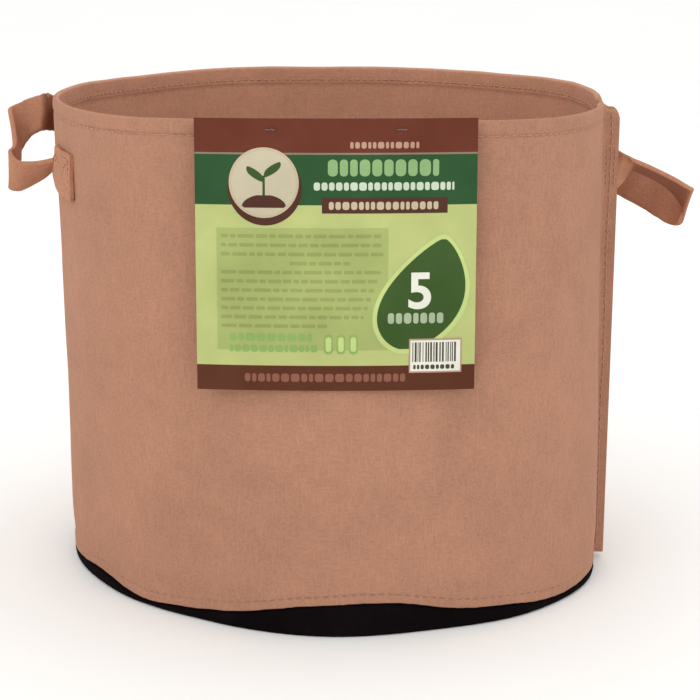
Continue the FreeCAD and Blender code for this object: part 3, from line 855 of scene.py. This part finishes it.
# Loops as upper edge x, y, z and lower edge x, y, z of the strap.
# The right one droops outward from the rear; its front leg lies folded above.
RIGHT_LOOP = [
    (169.2, 43.5, 225.8, 157.3, 37.5, 206.9),
    (177.2, 41.5, 221.6, 165.1, 34.0, 202.8),
    (186.1, 37.5, 217.5, 174.0, 30.0, 198.4),
    (193.3, 31.0, 213.8, 182.1, 25.0, 194.3),
    (199.4, 22.5, 211.0, 189.2, 18.0, 190.2),
    (203.6, 13.5, 209.6, 195.9, 11.0, 187.0),
    (205.2, 4.0, 210.0, 200.0, 5.0, 187.8),
    (203.9, -9.0, 211.5, 201.3, 3.0, 193.3),
    (201.8, -16.5, 212.4, 200.5, 1.5, 199.9),
    (197.6, -20.5, 214.7, 196.6, 0.5, 205.7),
    (191.1, -22.0, 218.1, 190.9, 0.0, 210.9),
    (183.0, -23.0, 221.9, 183.3, -0.5, 215.3),
    (176.1, -24.0, 225.4, 176.2, -1.5, 218.8),
    (170.2, -25.5, 228.3, 170.9, -4.0, 221.4),
    (165.5, -27.0, 230.8, 166.6, -9.0, 219.6),
    (161.7, -26.0, 232.9, 162.3, -18.0, 215.4),
    (158.7, -23.9, 234.6, 158.3, -23.2, 212.3),
]
# The left one stands high at the rear, is creased where it turns outward, runs forward and
# down, and turns on edge before its front leg meets the wall.
LEFT_LOOP = [
    (-145.0, 44.4, 254.4, -148.9, 47.0, 231.4),
    (-149.5, 40.0, 256.4, -154.1, 47.0, 234.1),
    (-153.4, 35.0, 257.3, -158.2, 49.0, 235.4),
    (-156.4, 32.0, 258.0, -160.3, 48.0, 236.1),
    (-159.4, 31.5, 259.2, -161.9, 42.5, 237.0),
    (-162.4, 36.0, 259.4, -162.9, 34.0, 238.2),
    (-166.5, 42.0, 257.7, -164.4, 28.5, 238.8),
    (-170.8, 43.0, 256.1, -167.3, 26.5, 237.8),
    (-174.8, 42.0, 254.7, -170.4, 26.0, 235.9),
    (-178.3, 38.5, 253.5, -173.1, 25.5, 232.5),
    (-181.2, 34.5, 252.7, -175.0, 24.0, 229.5),
    (-182.4, 29.0, 252.0, -176.1, 21.0, 227.6),
    (-181.7, 23.5, 250.2, -175.9, 16.0, 225.7),
    (-180.1, 17.0, 246.1, -175.4, 9.5, 223.2),
    (-178.4, 11.0, 240.6, -174.9, 1.5, 219.8),
    (-176.6, 4.5, 235.8, -174.8, -6.0, 215.8),
    (-176.0, -5.0, 233.4, -175.2, -14.0, 213.4),
    (-175.2, -18.0, 232.9, -177.2, -11.0, 211.0),
    (-171.7, -28.0, 230.4, -174.9, -12.0, 210.3),
    (-168.1, -32.0, 228.9, -171.3, -13.0, 210.5),
    (-163.9, -34.5, 228.8, -166.9, -14.0, 212.5),
    (-159.2, -36.5, 229.3, -162.3, -14.5, 215.4),
    (-154.5, -38.5, 230.4, -157.7, -16.0, 218.6),
    (-150.5, -40.0, 231.4, -153.9, -17.0, 222.0),
    (-147.9, -42.0, 232.4, -151.5, -20.0, 224.0),
    (-146.2, -45.0, 236.0, -149.5, -30.0, 219.4),
]
# painted shade on folds and undersides: first station, last station, face of the strap, amount
RIGHT_STRAP_SHADE = [(14.8, 20.4, -1, 0.85), (6.5, 9.2, 1, 0.5), (9.2, 11.0, 1, 0.22)]
LEFT_STRAP_SHADE = [(6.0, 10.5, -1, 1.0), (21.5, 26.0, -1, 0.35)]


def tab_stations(tab, count):
    """Stations from the sewn end to the root, along the wall."""
    stations = []
    for frac in np.linspace(1, 0, count):
        z = tab.root_z + (tab.end_z - tab.root_z) * frac
        deg = tab.degrees_at(tab.length * frac)
        stations.append(Station(wall_point(deg, z, STRAP_THICK / 2 + STRAP_GAP), UP))
    return stations


def leaning(x, y, z, lean):
    """Station whose upper edge tips this many degrees towards +X."""
    angle = math.radians(lean)
    return Station(np.array([x, y, z]), np.array([math.sin(angle), 0, math.cos(angle)]))


def loop_stations(table):
    """Stations from both edges; the felt is slightly pinched or stretched there."""
    stations = []
    for row in table:
        upper, lower = np.array(row[:3]), np.array(row[3:])
        width = float(np.linalg.norm(upper - lower))
        across = (upper - lower) / width
        stations.append(Station((upper + lower) / 2, across, width / STRAP_WIDTH, square=0.0))
    return stations


def catmull(values):
    """Catmull-Rom curve through the rows of values."""
    knots = np.asarray(values, float)
    knots = np.vstack([2 * knots[0] - knots[1], knots, 2 * knots[-1] - knots[-2]])
    curve = []
    for p0, p1, p2, p3 in zip(knots, knots[1:], knots[2:], knots[3:]):
        for frac in np.linspace(0, 1, STEPS_PER_STATION, endpoint=False):
            linear = (p2 - p0) * frac
            squared = (2 * p0 - 5 * p1 + 4 * p2 - p3) * frac**2
            cubed = (3 * p1 - p0 - 3 * p2 + p3) * frac**3
            curve.append(0.5 * (2 * p1 + linear + squared + cubed))
    curve.append(knots[-2])
    return np.array(curve)


def strap_section():
    """Closed (across, thickness) outline of a flat ply with rounded edges."""
    flat = STRAP_WIDTH / 2 - STRAP_ROUND
    half = STRAP_THICK / 2
    section = []
    for side in (1, -1):
        section += [(across * flat, side * half) for across in np.linspace(-side, side, FLAT_POINTS)]
        start = side * math.pi / 2
        for angle in np.linspace(start, start - math.pi, 6)[1:-1]:
            section.append((side * flat + STRAP_ROUND * math.cos(angle), half * math.sin(angle)))
    return section


def strap_caps(first, last, ring):
    """Faces of both ends: quads between the two flat sides and one face per rounded edge."""
    opposite = 2 * FLAT_POINTS + 3
    caps = [(k, opposite - k, opposite - k - 1, k + 1) for k in range(FLAT_POINTS - 1)]
    caps.append(tuple(range(FLAT_POINTS + 4, FLAT_POINTS - 2, -1)))
    caps.append((0, *range(ring - 1, opposite - 1, -1)))
    faces = [tuple(first + k for k in cap) for cap in caps]
    return faces + [tuple(last + k for k in reversed(cap)) for cap in caps]


def face_outward(mesh):
    work = bmesh.new()
    work.from_mesh(mesh)
    bmesh.ops.recalc_face_normals(work, faces=work.faces)
    work.to_mesh(mesh)
    work.free()


def strap(name, stations, seed, shade_spans):
    centres = catmull([station.centre for station in stations])
    across = catmull([station.across for station in stations])
    scales = catmull([[station.scale] for station in stations])[:, 0]
    square = np.clip(catmull([[station.square] for station in stations])[:, 0], 0, 1)
    tangents = unit(np.gradient(centres, axis=0))
    across = across - tangents * (square * np.sum(across * tangents, axis=1))[:, None]
    across = unit(across)
    normals = unit(np.cross(tangents, across))

    section = strap_section()
    ring = len(section)
    count = len(centres)
    verts = []
    for i in range(count):
        pressed = 0.72 if i in (0, count - 1) else 1.0  # the cut ends are thinner
        width = scales[i] * (1 - (1 - pressed) * 0.05)
        for offset, depth in section:
            curl = 0.35 * (offset / (STRAP_WIDTH / 2)) ** 2 * math.sin(i * 0.13 + seed)
            point = centres[i] + across[i] * offset * width
            point = point + normals[i] * (depth * pressed + curl)
            x, y, z = point * 0.12
            point = point + normals[i] * 0.12 * fnoise(x + seed, y, z)
            if abs(offset) > STRAP_WIDTH / 2 - 1.2:
                rag = fnoise(i * 0.35, seed, 2.0 if offset > 0 else 5.0)
                point = point + across[i] * 0.22 * rag
            verts.append(point)
    faces = tube_faces(count, ring) + strap_caps(0, (count - 1) * ring, ring)
    piece = make_mesh(name, verts, faces, [strap_felt], sharp=55)

    # painted shade on the strap's folds and undersides, as a mesh attribute
    strap_shade = np.zeros((count, ring))
    place = np.linspace(0, len(stations) - 1, count)
    for first, last, side, amount in shade_spans:
        fade_in = smoothstep(first - 0.7, first + 0.3, place)
        fade_out = 1 - smoothstep(last - 0.6, last + 0.6, place)
        on_face = np.array([
            1.0 if depth * side > 0 and abs(offset) < STRAP_WIDTH / 2 - 0.5 else 0.0
            for offset, depth in section
        ])
        strap_shade = np.maximum(strap_shade, amount * (fade_in * fade_out)[:, None] * on_face)
    add_attribute(piece, "strap_shade", strap_shade)
    face_outward(piece.data)
    return piece


# the right strap's front end is sewn flat against the rear face of the side seam
SEAM_END = [
    Station(np.array([155.0, -23.98, 223.8]), UP + np.array([0.03, 0, 0])),
    Station(np.array([151.6, -23.98, 224.4]), UP + np.array([0.02, 0, 0])),
]
right_stations = (
    tab_stations(RIGHT_REAR, count=5)
    + [leaning(150.4, 43.6, 225.2, lean=8), leaning(155.6, 42.8, 221.6, lean=19)]
    + loop_stations(RIGHT_LOOP)
    + SEAM_END
)
left_stations = (
    tab_stations(LEFT_REAR, count=5)
    + loop_stations(LEFT_LOOP)
    + tab_stations(LEFT_FRONT, count=8)[::-1]
)
right = strap("right_handle_strap", right_stations, seed=1.7, shade_spans=RIGHT_STRAP_SHADE)
left = strap("left_handle_strap", left_stations, seed=4.1, shade_spans=LEFT_STRAP_SHADE)


def tab_thread(name, replaced, tab):
    """Box and cross of thread on a sewn strap end."""
    slope = (tab.end_z - tab.root_z) / tab.length
    shrink = 1 / math.hypot(1, slope)
    near, far, half = 3.6, tab.length - 2.6, 9.4
    # corners as (distance from the root, distance across the strap)
    low_near, low_far, high_far, high_near = (near, -half), (far, -half), (far, half), (near, half)
    lines = [
        (low_near, low_far), (low_far, high_far), (high_far, high_near),
        (high_near, low_near), (low_near, high_far), (high_near, low_far),
    ]
    rows = []
    for (start, start_across), (end, end_across) in lines:
        points, normals = [], []
        for frac in np.linspace(0, 1, 16):
            run = start + (end - start) * frac
            across = start_across + (end_across - start_across) * frac
            deg = tab.degrees_at((run - across * slope) * shrink)
            z = tab.root_z + (run * slope + across) * shrink
            points.append(wall_point(deg, z, STRAP_GAP + STRAP_THICK + 0.05))
            normals.append(outward(deg))
        rows.append((points, normals))
    ride_bag(stitches(name, rows, tan_thread, **TAB_STITCH), replaced)


tab_thread("left_front_tab_thread", "left_handle_front_stitching", LEFT_FRONT)
tab_thread("left_rear_tab_thread", "left_handle_rear_stitching", LEFT_REAR)
tab_thread("right_rear_tab_thread", "right_handle_rear_stitching", RIGHT_REAR)

# two short rows, on the front face of the side seam, hold the right strap's front end
end_rows = [
    seam_row(-1, [SEAM_STITCH_X + shift] * 14, np.linspace(215.5, 236.5, 14))
    for shift in (-1.9, 2.3)
]
end_thread = stitches("right_front_tab_thread", end_rows, tan_thread, **TAB_STITCH)
ride_bag(end_thread, "right_handle_front_stitching")

# ---------------------------------------------------------------- label card

card_lo, card_hi = box_mm("label_card")
head_lo, head_hi = box_mm("label_header_strip")
CARD_X = (card_lo.x + card_hi.x) / 2
CARD_WIDTH = card_hi.x - card_lo.x - 1.0
CARD_BOTTOM = card_lo.z - 0.6
CARD_HEIGHT = head_hi.z - 0.6 - CARD_BOTTOM
CREASE = head_lo.z - CARD_BOTTOM  # height of the bend above the card's lower edge
CARD_FRONT_Y = head_lo.y - 1.2
CARD_THICK = 0.5
CARD_CURVE = 620.0  # radius of the card around the bag
CARD_SLOPE = (150.5 - 137.0) / (250.0 - 26.0)  # forward lean below the crease
CREASE_SOFTNESS = 2.0
LAYER_STEP = 0.045  # each printed layer lies this far above the one below
GRID_STEP, GRID_ROW = 6.0, 8.0  # largest cells of a printed shape

# the grey ink paints a highlight along the card's crease
INKS = {
    "maroon": (98, 44, 26), "maroon_low": (84, 40, 20), "green": (36, 76, 38),
    "lime": (176, 184, 116), "olive": (157, 168, 100), "olive_dark": (142, 150, 86),
    "mint": (134, 166, 90), "leaf": (52, 80, 30), "halo": (184, 200, 126),
    "white": (222, 222, 208), "head": (190, 204, 180), "pale_green": (134, 168, 112),
    "brown": (74, 40, 28), "cream": (188, 172, 142), "plate": (190, 180, 154),
    "blush": (178, 140, 120), "faint": (132, 84, 66), "dark": (72, 64, 52),
    "grey": (134, 118, 98), "dim_white": (160, 176, 144), "card_back": (190, 178, 156),
}
ink_materials = {
    name: ink("ink_" + name, srgb(*rgb), roughness=0.6 if name == "card_back" else 0.42)
    for name, rgb in INKS.items()
}


def card_point(across, height, lift=0.0):
    """Point above the printed face, placed from the card's lower left corner."""
    x = across - CARD_WIDTH / 2
    angle = x / CARD_CURVE
    below = max(0.0, CREASE - height)
    bent = below - CREASE_SOFTNESS * (1 - math.exp(-below / CREASE_SOFTNESS))
    upward = math.sin(math.pi * height / CARD_HEIGHT)
    bow = 0.5 * upward * math.cos(x / CARD_WIDTH * math.pi)
    radius = CARD_CURVE + lift
    y = CARD_FRONT_Y + CARD_CURVE - radius * math.cos(angle) - bent * CARD_SLOPE - bow
    return np.array([CARD_X + radius * math.sin(angle), y, CARD_BOTTOM + height])


class Print:
    """Collects the card and its printed shapes.

    Boxes are (left, bottom, right, top) in millimetres from the card's lower left corner.
    """

    def __init__(self):
        self.verts, self.faces, self.face_inks, self.inks = [], [], [], []
        self.rng = np.random.default_rng(11)

    def face(self, corners, name):
        if name not in self.inks:
            self.inks.append(name)
        self.faces.append(tuple(corners))
        self.face_inks.append(self.inks.index(name))

    def fill(self, rows, layer, name):
        """Shape from (height, left, right) rows."""
        widest = max(right - left for _, left, right in rows)
        columns = max(2, int(math.ceil(widest / GRID_STEP)) + 1)
        base = len(self.verts)
        for height, left, right in rows:
            for across in np.linspace(left, right, columns):
                self.verts.append(card_point(across, height, LAYER_STEP * layer))
        for corners in tube_faces(len(rows), columns, base, closed=False):
            self.face(corners, name)

    def rect(self, box, layer, name):
        left, bottom, right, top = box
        count = max(2, int(math.ceil((top - bottom) / GRID_ROW)) + 1)
        heights = set(np.linspace(bottom, top, count))
        # extra rows where the card bends
        near_crease = [CREASE + d for d in (-8, -6, -4.5, -3.2, -2.2, -1.2, -0.4, 0.4)]
        heights.update(height for height in near_crease if bottom < height < top)
        self.fill([(height, left, right) for height in sorted(heights)], layer, name)

    def pill(self, box, layer, name):
        """Small block with rounded corners."""
        left, bottom, right, top = box
        radius = min(0.3 * (top - bottom), 0.42 * (right - left))
        lower = bottom + radius * (1 - np.cos(np.linspace(0, math.pi / 2, 4)))
        upper = top - radius * (1 - np.cos(np.linspace(math.pi / 2, 0, 4)))
        rows = []
        for height in np.concatenate([lower, upper]):
            past = max(bottom + radius - height, height - (top - radius), 0.0)
            inset = radius - math.sqrt(max(0.0, radius * radius - past * past))
            rows.append((height, left + inset, right - inset))
        self.fill(rows, layer, name)

    def disc(self, x, y, radius, layer, name):
        rows = []
        for height in y - radius * np.cos(np.linspace(0, math.pi, 49)):
            half = math.sqrt(max(0.0001, radius * radius - (height - y) ** 2))
            rows.append((height, x - half, x + half))
        self.fill(rows, layer, name)

    def bars(self, box, layer, name, narrow, wide, gap):
        """Row of blocks with random widths."""
        left, bottom, right, top = box
        while left < right:
            width = min(float(self.rng.uniform(narrow, wide)), right - left)
            if width > 0.8:
                self.pill((left, bottom, left + width, top), layer, name)
            left += width + gap


def card_sheet(card):
    """The card itself, printed in bands right to its edges."""
    # upper edge and ink of each band, from the bottom; the thin grey band under the maroon header is
    # a painted highlight along the crease
    bands = [
        (12.7, "maroon_low"), (92.6, "lime"), (117.2, "green"), (118.1, "grey"),
        (CARD_HEIGHT, "maroon"),
    ]
    columns = np.linspace(0, CARD_WIDTH, 30)
    heights = np.concatenate([
        np.linspace(0, CREASE - 10, 20),
        np.linspace(CREASE - 10, CREASE + 2, 13),
        np.linspace(CREASE + 2, CARD_HEIGHT, 5),
        [edge for edge, _ in bands[:-1]],
    ])
    heights = sorted({round(float(height), 4) for height in heights})
    count, rows = len(columns), len(heights)
    for lift in (0.0, -CARD_THICK):
        for height in heights:
            card.verts += [card_point(across, height, lift) for across in columns]
    back = count * rows  # first vertex of the back
    card.inks.append("card_back")

    def edge_face(a, b, name):
        card.face((a, a + back, b + back, b), name)

    for j in range(rows - 1):
        middle = (heights[j] + heights[j + 1]) / 2
        band = next(name for edge, name in bands if middle < edge)
        low, high = j * count, (j + 1) * count
        for i in range(count - 1):
            card.face((low + i, low + i + 1, high + i + 1, high + i), band)
            behind = (low + i, high + i, high + i + 1, low + i + 1)
            card.face((back + k for k in behind), "card_back")
        edge_face(low + count - 1, high + count - 1, band)
        edge_face(high, low, band)
    top_row = (rows - 1) * count
    for i in range(count - 1):
        edge_face(i, i + 1, "maroon_low")
        edge_face(top_row + i + 1, top_row + i, "maroon")


def headings(card):
    """Rows of blocks in the upper bands, and the brown strip."""
    card.bars((76.4, 120.2, 110.1, 123.4), 2, "blush", narrow=1.4, wide=3.2, gap=0.8)
    card.bars((65.5, 106.7, 120.0, 114.9), 2, "pale_green", narrow=3.4, wide=5.6, gap=1.0)
    card.bars((58.6, 99.8, 127.6, 103.8), 2, "head", narrow=2.0, wide=4.0, gap=0.7)
    card.rect((62.6, 88.6, 124.4, 96.3), 2, "brown")
    card.bars((66.0, 90.4, 120.9, 94.3), 3, "cream", narrow=1.8, wide=3.6, gap=0.8)


def small_print(card):
    """Olive panel with rows of bars, and greener blocks near its foot."""
    card.rect((10.6, 20.6, 95.2, 81.2), 2, "olive")
    row_pitch = 4.47
    row_ends = (93.2, 91.8, 92.8, 76.4, 92.3, 90.3, 88.3, 86.8, 85.3, 83.3, 66.5)
    for k, right in enumerate(row_ends):
        left = 46.7 if k == 3 else 12.6
        box = (left, 76.5 - row_pitch * k, right, 78.2 - row_pitch * k)
        card.bars(box, 3, "olive_dark", narrow=2.5, wide=9.0, gap=1.1)
    card.bars((16.6, 25.1, 57.6, 29.0), 3, "mint", narrow=2.4, wide=5.2, gap=0.8)
    card.bars((16.6, 19.6, 60.6, 23.1), 3, "mint", narrow=1.6, wide=4.2, gap=0.7)
    for k in range(3):
        left = 63.6 + k * 6.2
        card.pill((left, 18.6, left + 4.4, 28.5), 3, "mint")
        card.pill((left + 0.8, 19.8, left + 3.6, 27.2), 4, "halo")


def large_leaf(card):
    """A leaning pointed oval with a halo."""
    foot, tip = 20.6, 76.0
    for grow, layer, name in ((2.4, 3, "halo"), (0.0, 4, "leaf")):
        rows = []
        for height in np.linspace(foot - grow, tip + grow, 130):
            frac = (height - (foot - grow)) / (tip - foot + 2 * grow)
            if frac <= 0 or frac >= 1:
                continue
            middle = 103.9 + 19.0 * frac
            half = (20.6 + grow) * math.sin(math.pi * frac**0.78) ** 0.72
            rows.append((height, middle - half, middle + half))
        card.fill(rows, layer, name)


def lower_right_block(card):
    """White block with upright bars, and the rows of blocks above and beside it."""
    card.bars((95.2, 33.8, 124.4, 39.2), 6, "dim_white", narrow=2.4, wide=4.0, gap=0.9)
    card.rect((105.9, 8.9, 132.3, 26.1), 5, "blush")
    card.rect((106.6, 9.7, 131.6, 25.3), 6, "white")
    left = 107.6
    while left < 130.1:
        width = float(card.rng.uniform(0.35, 1.1))
        card.rect((left, 14.4, left + width, 24.3), 7, "dark")
        left += width + float(card.rng.uniform(0.4, 1.0))
    card.bars((108.1, 10.7, 129.8, 13.0), 7, "dark", narrow=1.2, wide=2.2, gap=0.6)
    card.bars((24.0, 4.5, 104.1, 8.7), 2, "faint", narrow=1.8, wide=4.6, gap=0.8)


def badge(card):
    """Round badge with a seedling on a mound."""
    x, y, radius = 34.1, 103.5, 17.2
    card.disc(34.6, 100.8, radius + 1.0, 3, "brown")
    card.disc(x, y, radius, 4, "cream")
    card.disc(x, y, radius - 1.3, 5, "plate")

    mound = []
    for height in np.linspace(y - 12.2, y - 6.1, 20):
        half = 11.0 * math.sqrt(1 - ((height - (y - 12.2)) / 6.4) ** 2)
        half = min(half, math.sqrt((radius - 1.6) ** 2 - (height - y) ** 2))
        mound.append((height, x - half, x + half))
    card.fill(mound, 6, "brown")
    card.rect((x - 0.6, y - 6.6, x + 0.6, y + 3.5), 6, "leaf")

    for side, lift in ((-1, 0.0), (1, 2.2)):
        rows = []
        for height in np.linspace(y + 0.5 + lift, y + 8.0 + lift, 26):
            frac = (height - (y + 0.5 + lift)) / 7.5
            if frac < 0 or frac > 1:
                continue
            middle = side * (0.8 + 7.0 * frac)
            half = 2.9 * math.sin(math.pi * frac) ** 0.7 + 0.05
            rows.append((height, x + middle - half, x + middle + half))
        card.fill(rows, 7, "leaf")


def figure_five(card):
    """The large white 5, taken from Blender's own font."""
    left, bottom, width, height = 105.4, 41.0, 11.3, 18.3
    text = bpy.data.curves.new("figure", "FONT")
    text.body = "5"
    text.size = 1.0
    text.offset = 0.022
    text.resolution_u = 6
    holder = bpy.data.objects.new("figure_tmp", text)
    bpy.context.scene.collection.objects.link(holder)
    depsgraph = bpy.context.evaluated_depsgraph_get()
    mesh = bpy.data.meshes.new_from_object(holder.evaluated_get(depsgraph))
    points = np.array([vert.co for vert in mesh.vertices], float)
    low, high = points.min(0), points.max(0)
    base = len(card.verts)
    for point in points:
        across = left + (point[0] - low[0]) / (high[0] - low[0]) * width
        upward = bottom + (point[1] - low[1]) / (high[1] - low[1]) * height
        card.verts.append(card_point(across, upward, LAYER_STEP * 6))
    for polygon in mesh.polygons:
        card.face((base + k for k in polygon.vertices), "white")
    bpy.data.objects.remove(holder)
    bpy.data.meshes.remove(mesh)
    bpy.data.curves.remove(text)


def label_card():
    card = Print()
    # in this order: the parts share one run of random widths
    parts = (
        card_sheet, headings, small_print, large_leaf, lower_right_block, badge, figure_five,
    )
    for part in parts:
        part(card)
    materials = [ink_materials[name] for name in card.inks]
    return make_mesh(
        "label_card_print", card.verts, card.faces, materials, card.face_inks, sharp=40
    )


card = label_card()

# ---------------------------------------------------------------- tag pins

pins_lo, pins_hi = box_mm("label_tag_pins")
PIN_X = (pins_hi.x - pins_lo.x - 7.0) / 2  # from the middle of the card
PIN_Z = (pins_lo.z + pins_hi.z) / 2
CAPSULE_SIDES, CAPSULE_RINGS = 10, 4


def capsule(start, end, radius):
    """Points of a level round-ended rod."""
    start, end = np.array(start, float), np.array(end, float)
    length = np.linalg.norm(end - start)
    axis = (end - start) / length
    side = unit(np.cross(axis, UP))
    other = np.cross(axis, side)
    angles = [math.pi / 2 * k / CAPSULE_RINGS for k in range(CAPSULE_RINGS + 1)]
    rings = [(-radius * math.cos(angle), radius * math.sin(angle)) for angle in angles]
    rings += [(length + radius * math.sin(angle), radius * math.cos(angle)) for angle in angles]
    verts = []
    for along, ring_radius in rings:
        for i in range(CAPSULE_SIDES):
            angle = 2 * math.pi * i / CAPSULE_SIDES
            spoke = math.cos(angle) * side + math.sin(angle) * other
            verts.append(start + axis * along + (ring_radius + 1e-4) * spoke)
    return verts


def tag_pins():
    """Two clear filaments through the felt, each with a cross bar at both ends."""
    verts, faces = [], []
    for side in (-1, 1):
        x = CARD_X + side * PIN_X
        front_y = card_point(CARD_WIDTH / 2 + side * PIN_X, PIN_Z - CARD_BOTTOM)[1] - 0.5
        deg = 270 + math.degrees(math.asin(x / 139.0))
        rear_y = 5.6 - math.sqrt(float(wall_radius(deg, PIN_Z)) ** 2 - x * x)
        rods = (
            ((x - 2.2, front_y, PIN_Z), (x + 2.2, front_y, PIN_Z), 0.42),
            ((x - 2.6, rear_y, PIN_Z), (x + 2.6, rear_y, PIN_Z), 0.62),
            ((x, front_y, PIN_Z), (x, rear_y, PIN_Z), 0.3),
        )
        for rod in rods:
            rows = 2 * (CAPSULE_RINGS + 1)
            faces += capped_tube_faces(rows, CAPSULE_SIDES, base=len(verts))
            verts += capsule(*rod)
    return make_mesh("label_tag_pins_clear", verts, faces, [clear_plastic()])


ride_bag(tag_pins(), "label_tag_pins")

# ---------------------------------------------------------------- pieces that cross a joint

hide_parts("label_header_strip", "label_card")
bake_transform(card)

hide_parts("right_handle_loop", "right_handle_front_tab", "right_handle_rear_tab")
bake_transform(right)

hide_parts("left_handle_loop", "left_handle_front_tab", "left_handle_rear_tab")
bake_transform(left)

# ---------------------------------------------------------------- stage, lights, camera (metres)

scene = bpy.context.scene
scene.view_settings.view_transform = "Standard"
scene.view_settings.look = "None"
scene.view_settings.exposure = 0.0


def add_floor(half):
    mesh = bpy.data.meshes.new("floor")
    corners = [(-half, -half, 0), (half, -half, 0), (half, half, 0), (-half, half, 0)]
    mesh.from_pydata(corners, [], [(0, 1, 2, 3)])
    mesh.materials.append(floor_material((0.93, 0.93, 0.92)))
    floor = bpy.data.objects.new("floor", mesh)
    scene.collection.objects.link(floor)


def add_world(colour, strength):
    world = bpy.data.worlds.new("studio")
    scene.world = world
    world.use_nodes = True
    background = world.node_tree.nodes["Background"]
    background.inputs[0].default_value = (*colour, 1)
    background.inputs[1].default_value = strength


def add_light(name, location, target, size, power, colour):
    light = bpy.data.lights.new(name, "AREA")
    light.shape = "DISK"
    light.size = size
    light.energy = power
    light.color = colour
    lamp = bpy.data.objects.new(name, light)
    lamp.location = location
    aim = Vector(target) - Vector(location)
    lamp.rotation_euler = aim.to_track_quat("-Z", "Y").to_euler()
    scene.collection.objects.link(lamp)


def add_camera(location, tilt_down):
    camera = bpy.data.cameras.new("camera")
    camera.lens = 95.9
    camera.sensor_width = 36
    camera.shift_x = 0.0314
    camera.shift_y = 0.0441
    camera.clip_start = 0.01
    camera.clip_end = 60
    holder = bpy.data.objects.new("camera", camera)
    holder.location = location
    holder.rotation_euler = (math.radians(90 - tilt_down), 0, 0)
    scene.collection.objects.link(holder)
    scene.camera = holder


add_floor(half=14.0)
add_world(colour=(1.0, 1.0, 0.99), strength=1.06)
add_light(
    "key", location=(-1.3, -1.9, 1.5), target=(0, 0, 0.15),
    size=1.3, power=7.6, colour=(1.0, 0.985, 0.96),
)
add_light(
    "fill", location=(1.5, -1.8, 1.0), target=(0, 0, 0.15),
    size=1.5, power=4.2, colour=(0.97, 0.985, 1.0),
)
add_light(
    "top", location=(0.2, 0.6, 2.2), target=(0, 0, 0.0),
    size=1.8, power=5, colour=(1, 1, 1),
)
add_camera(location=(0, -1.0466, 0.3721), tilt_down=14.72)
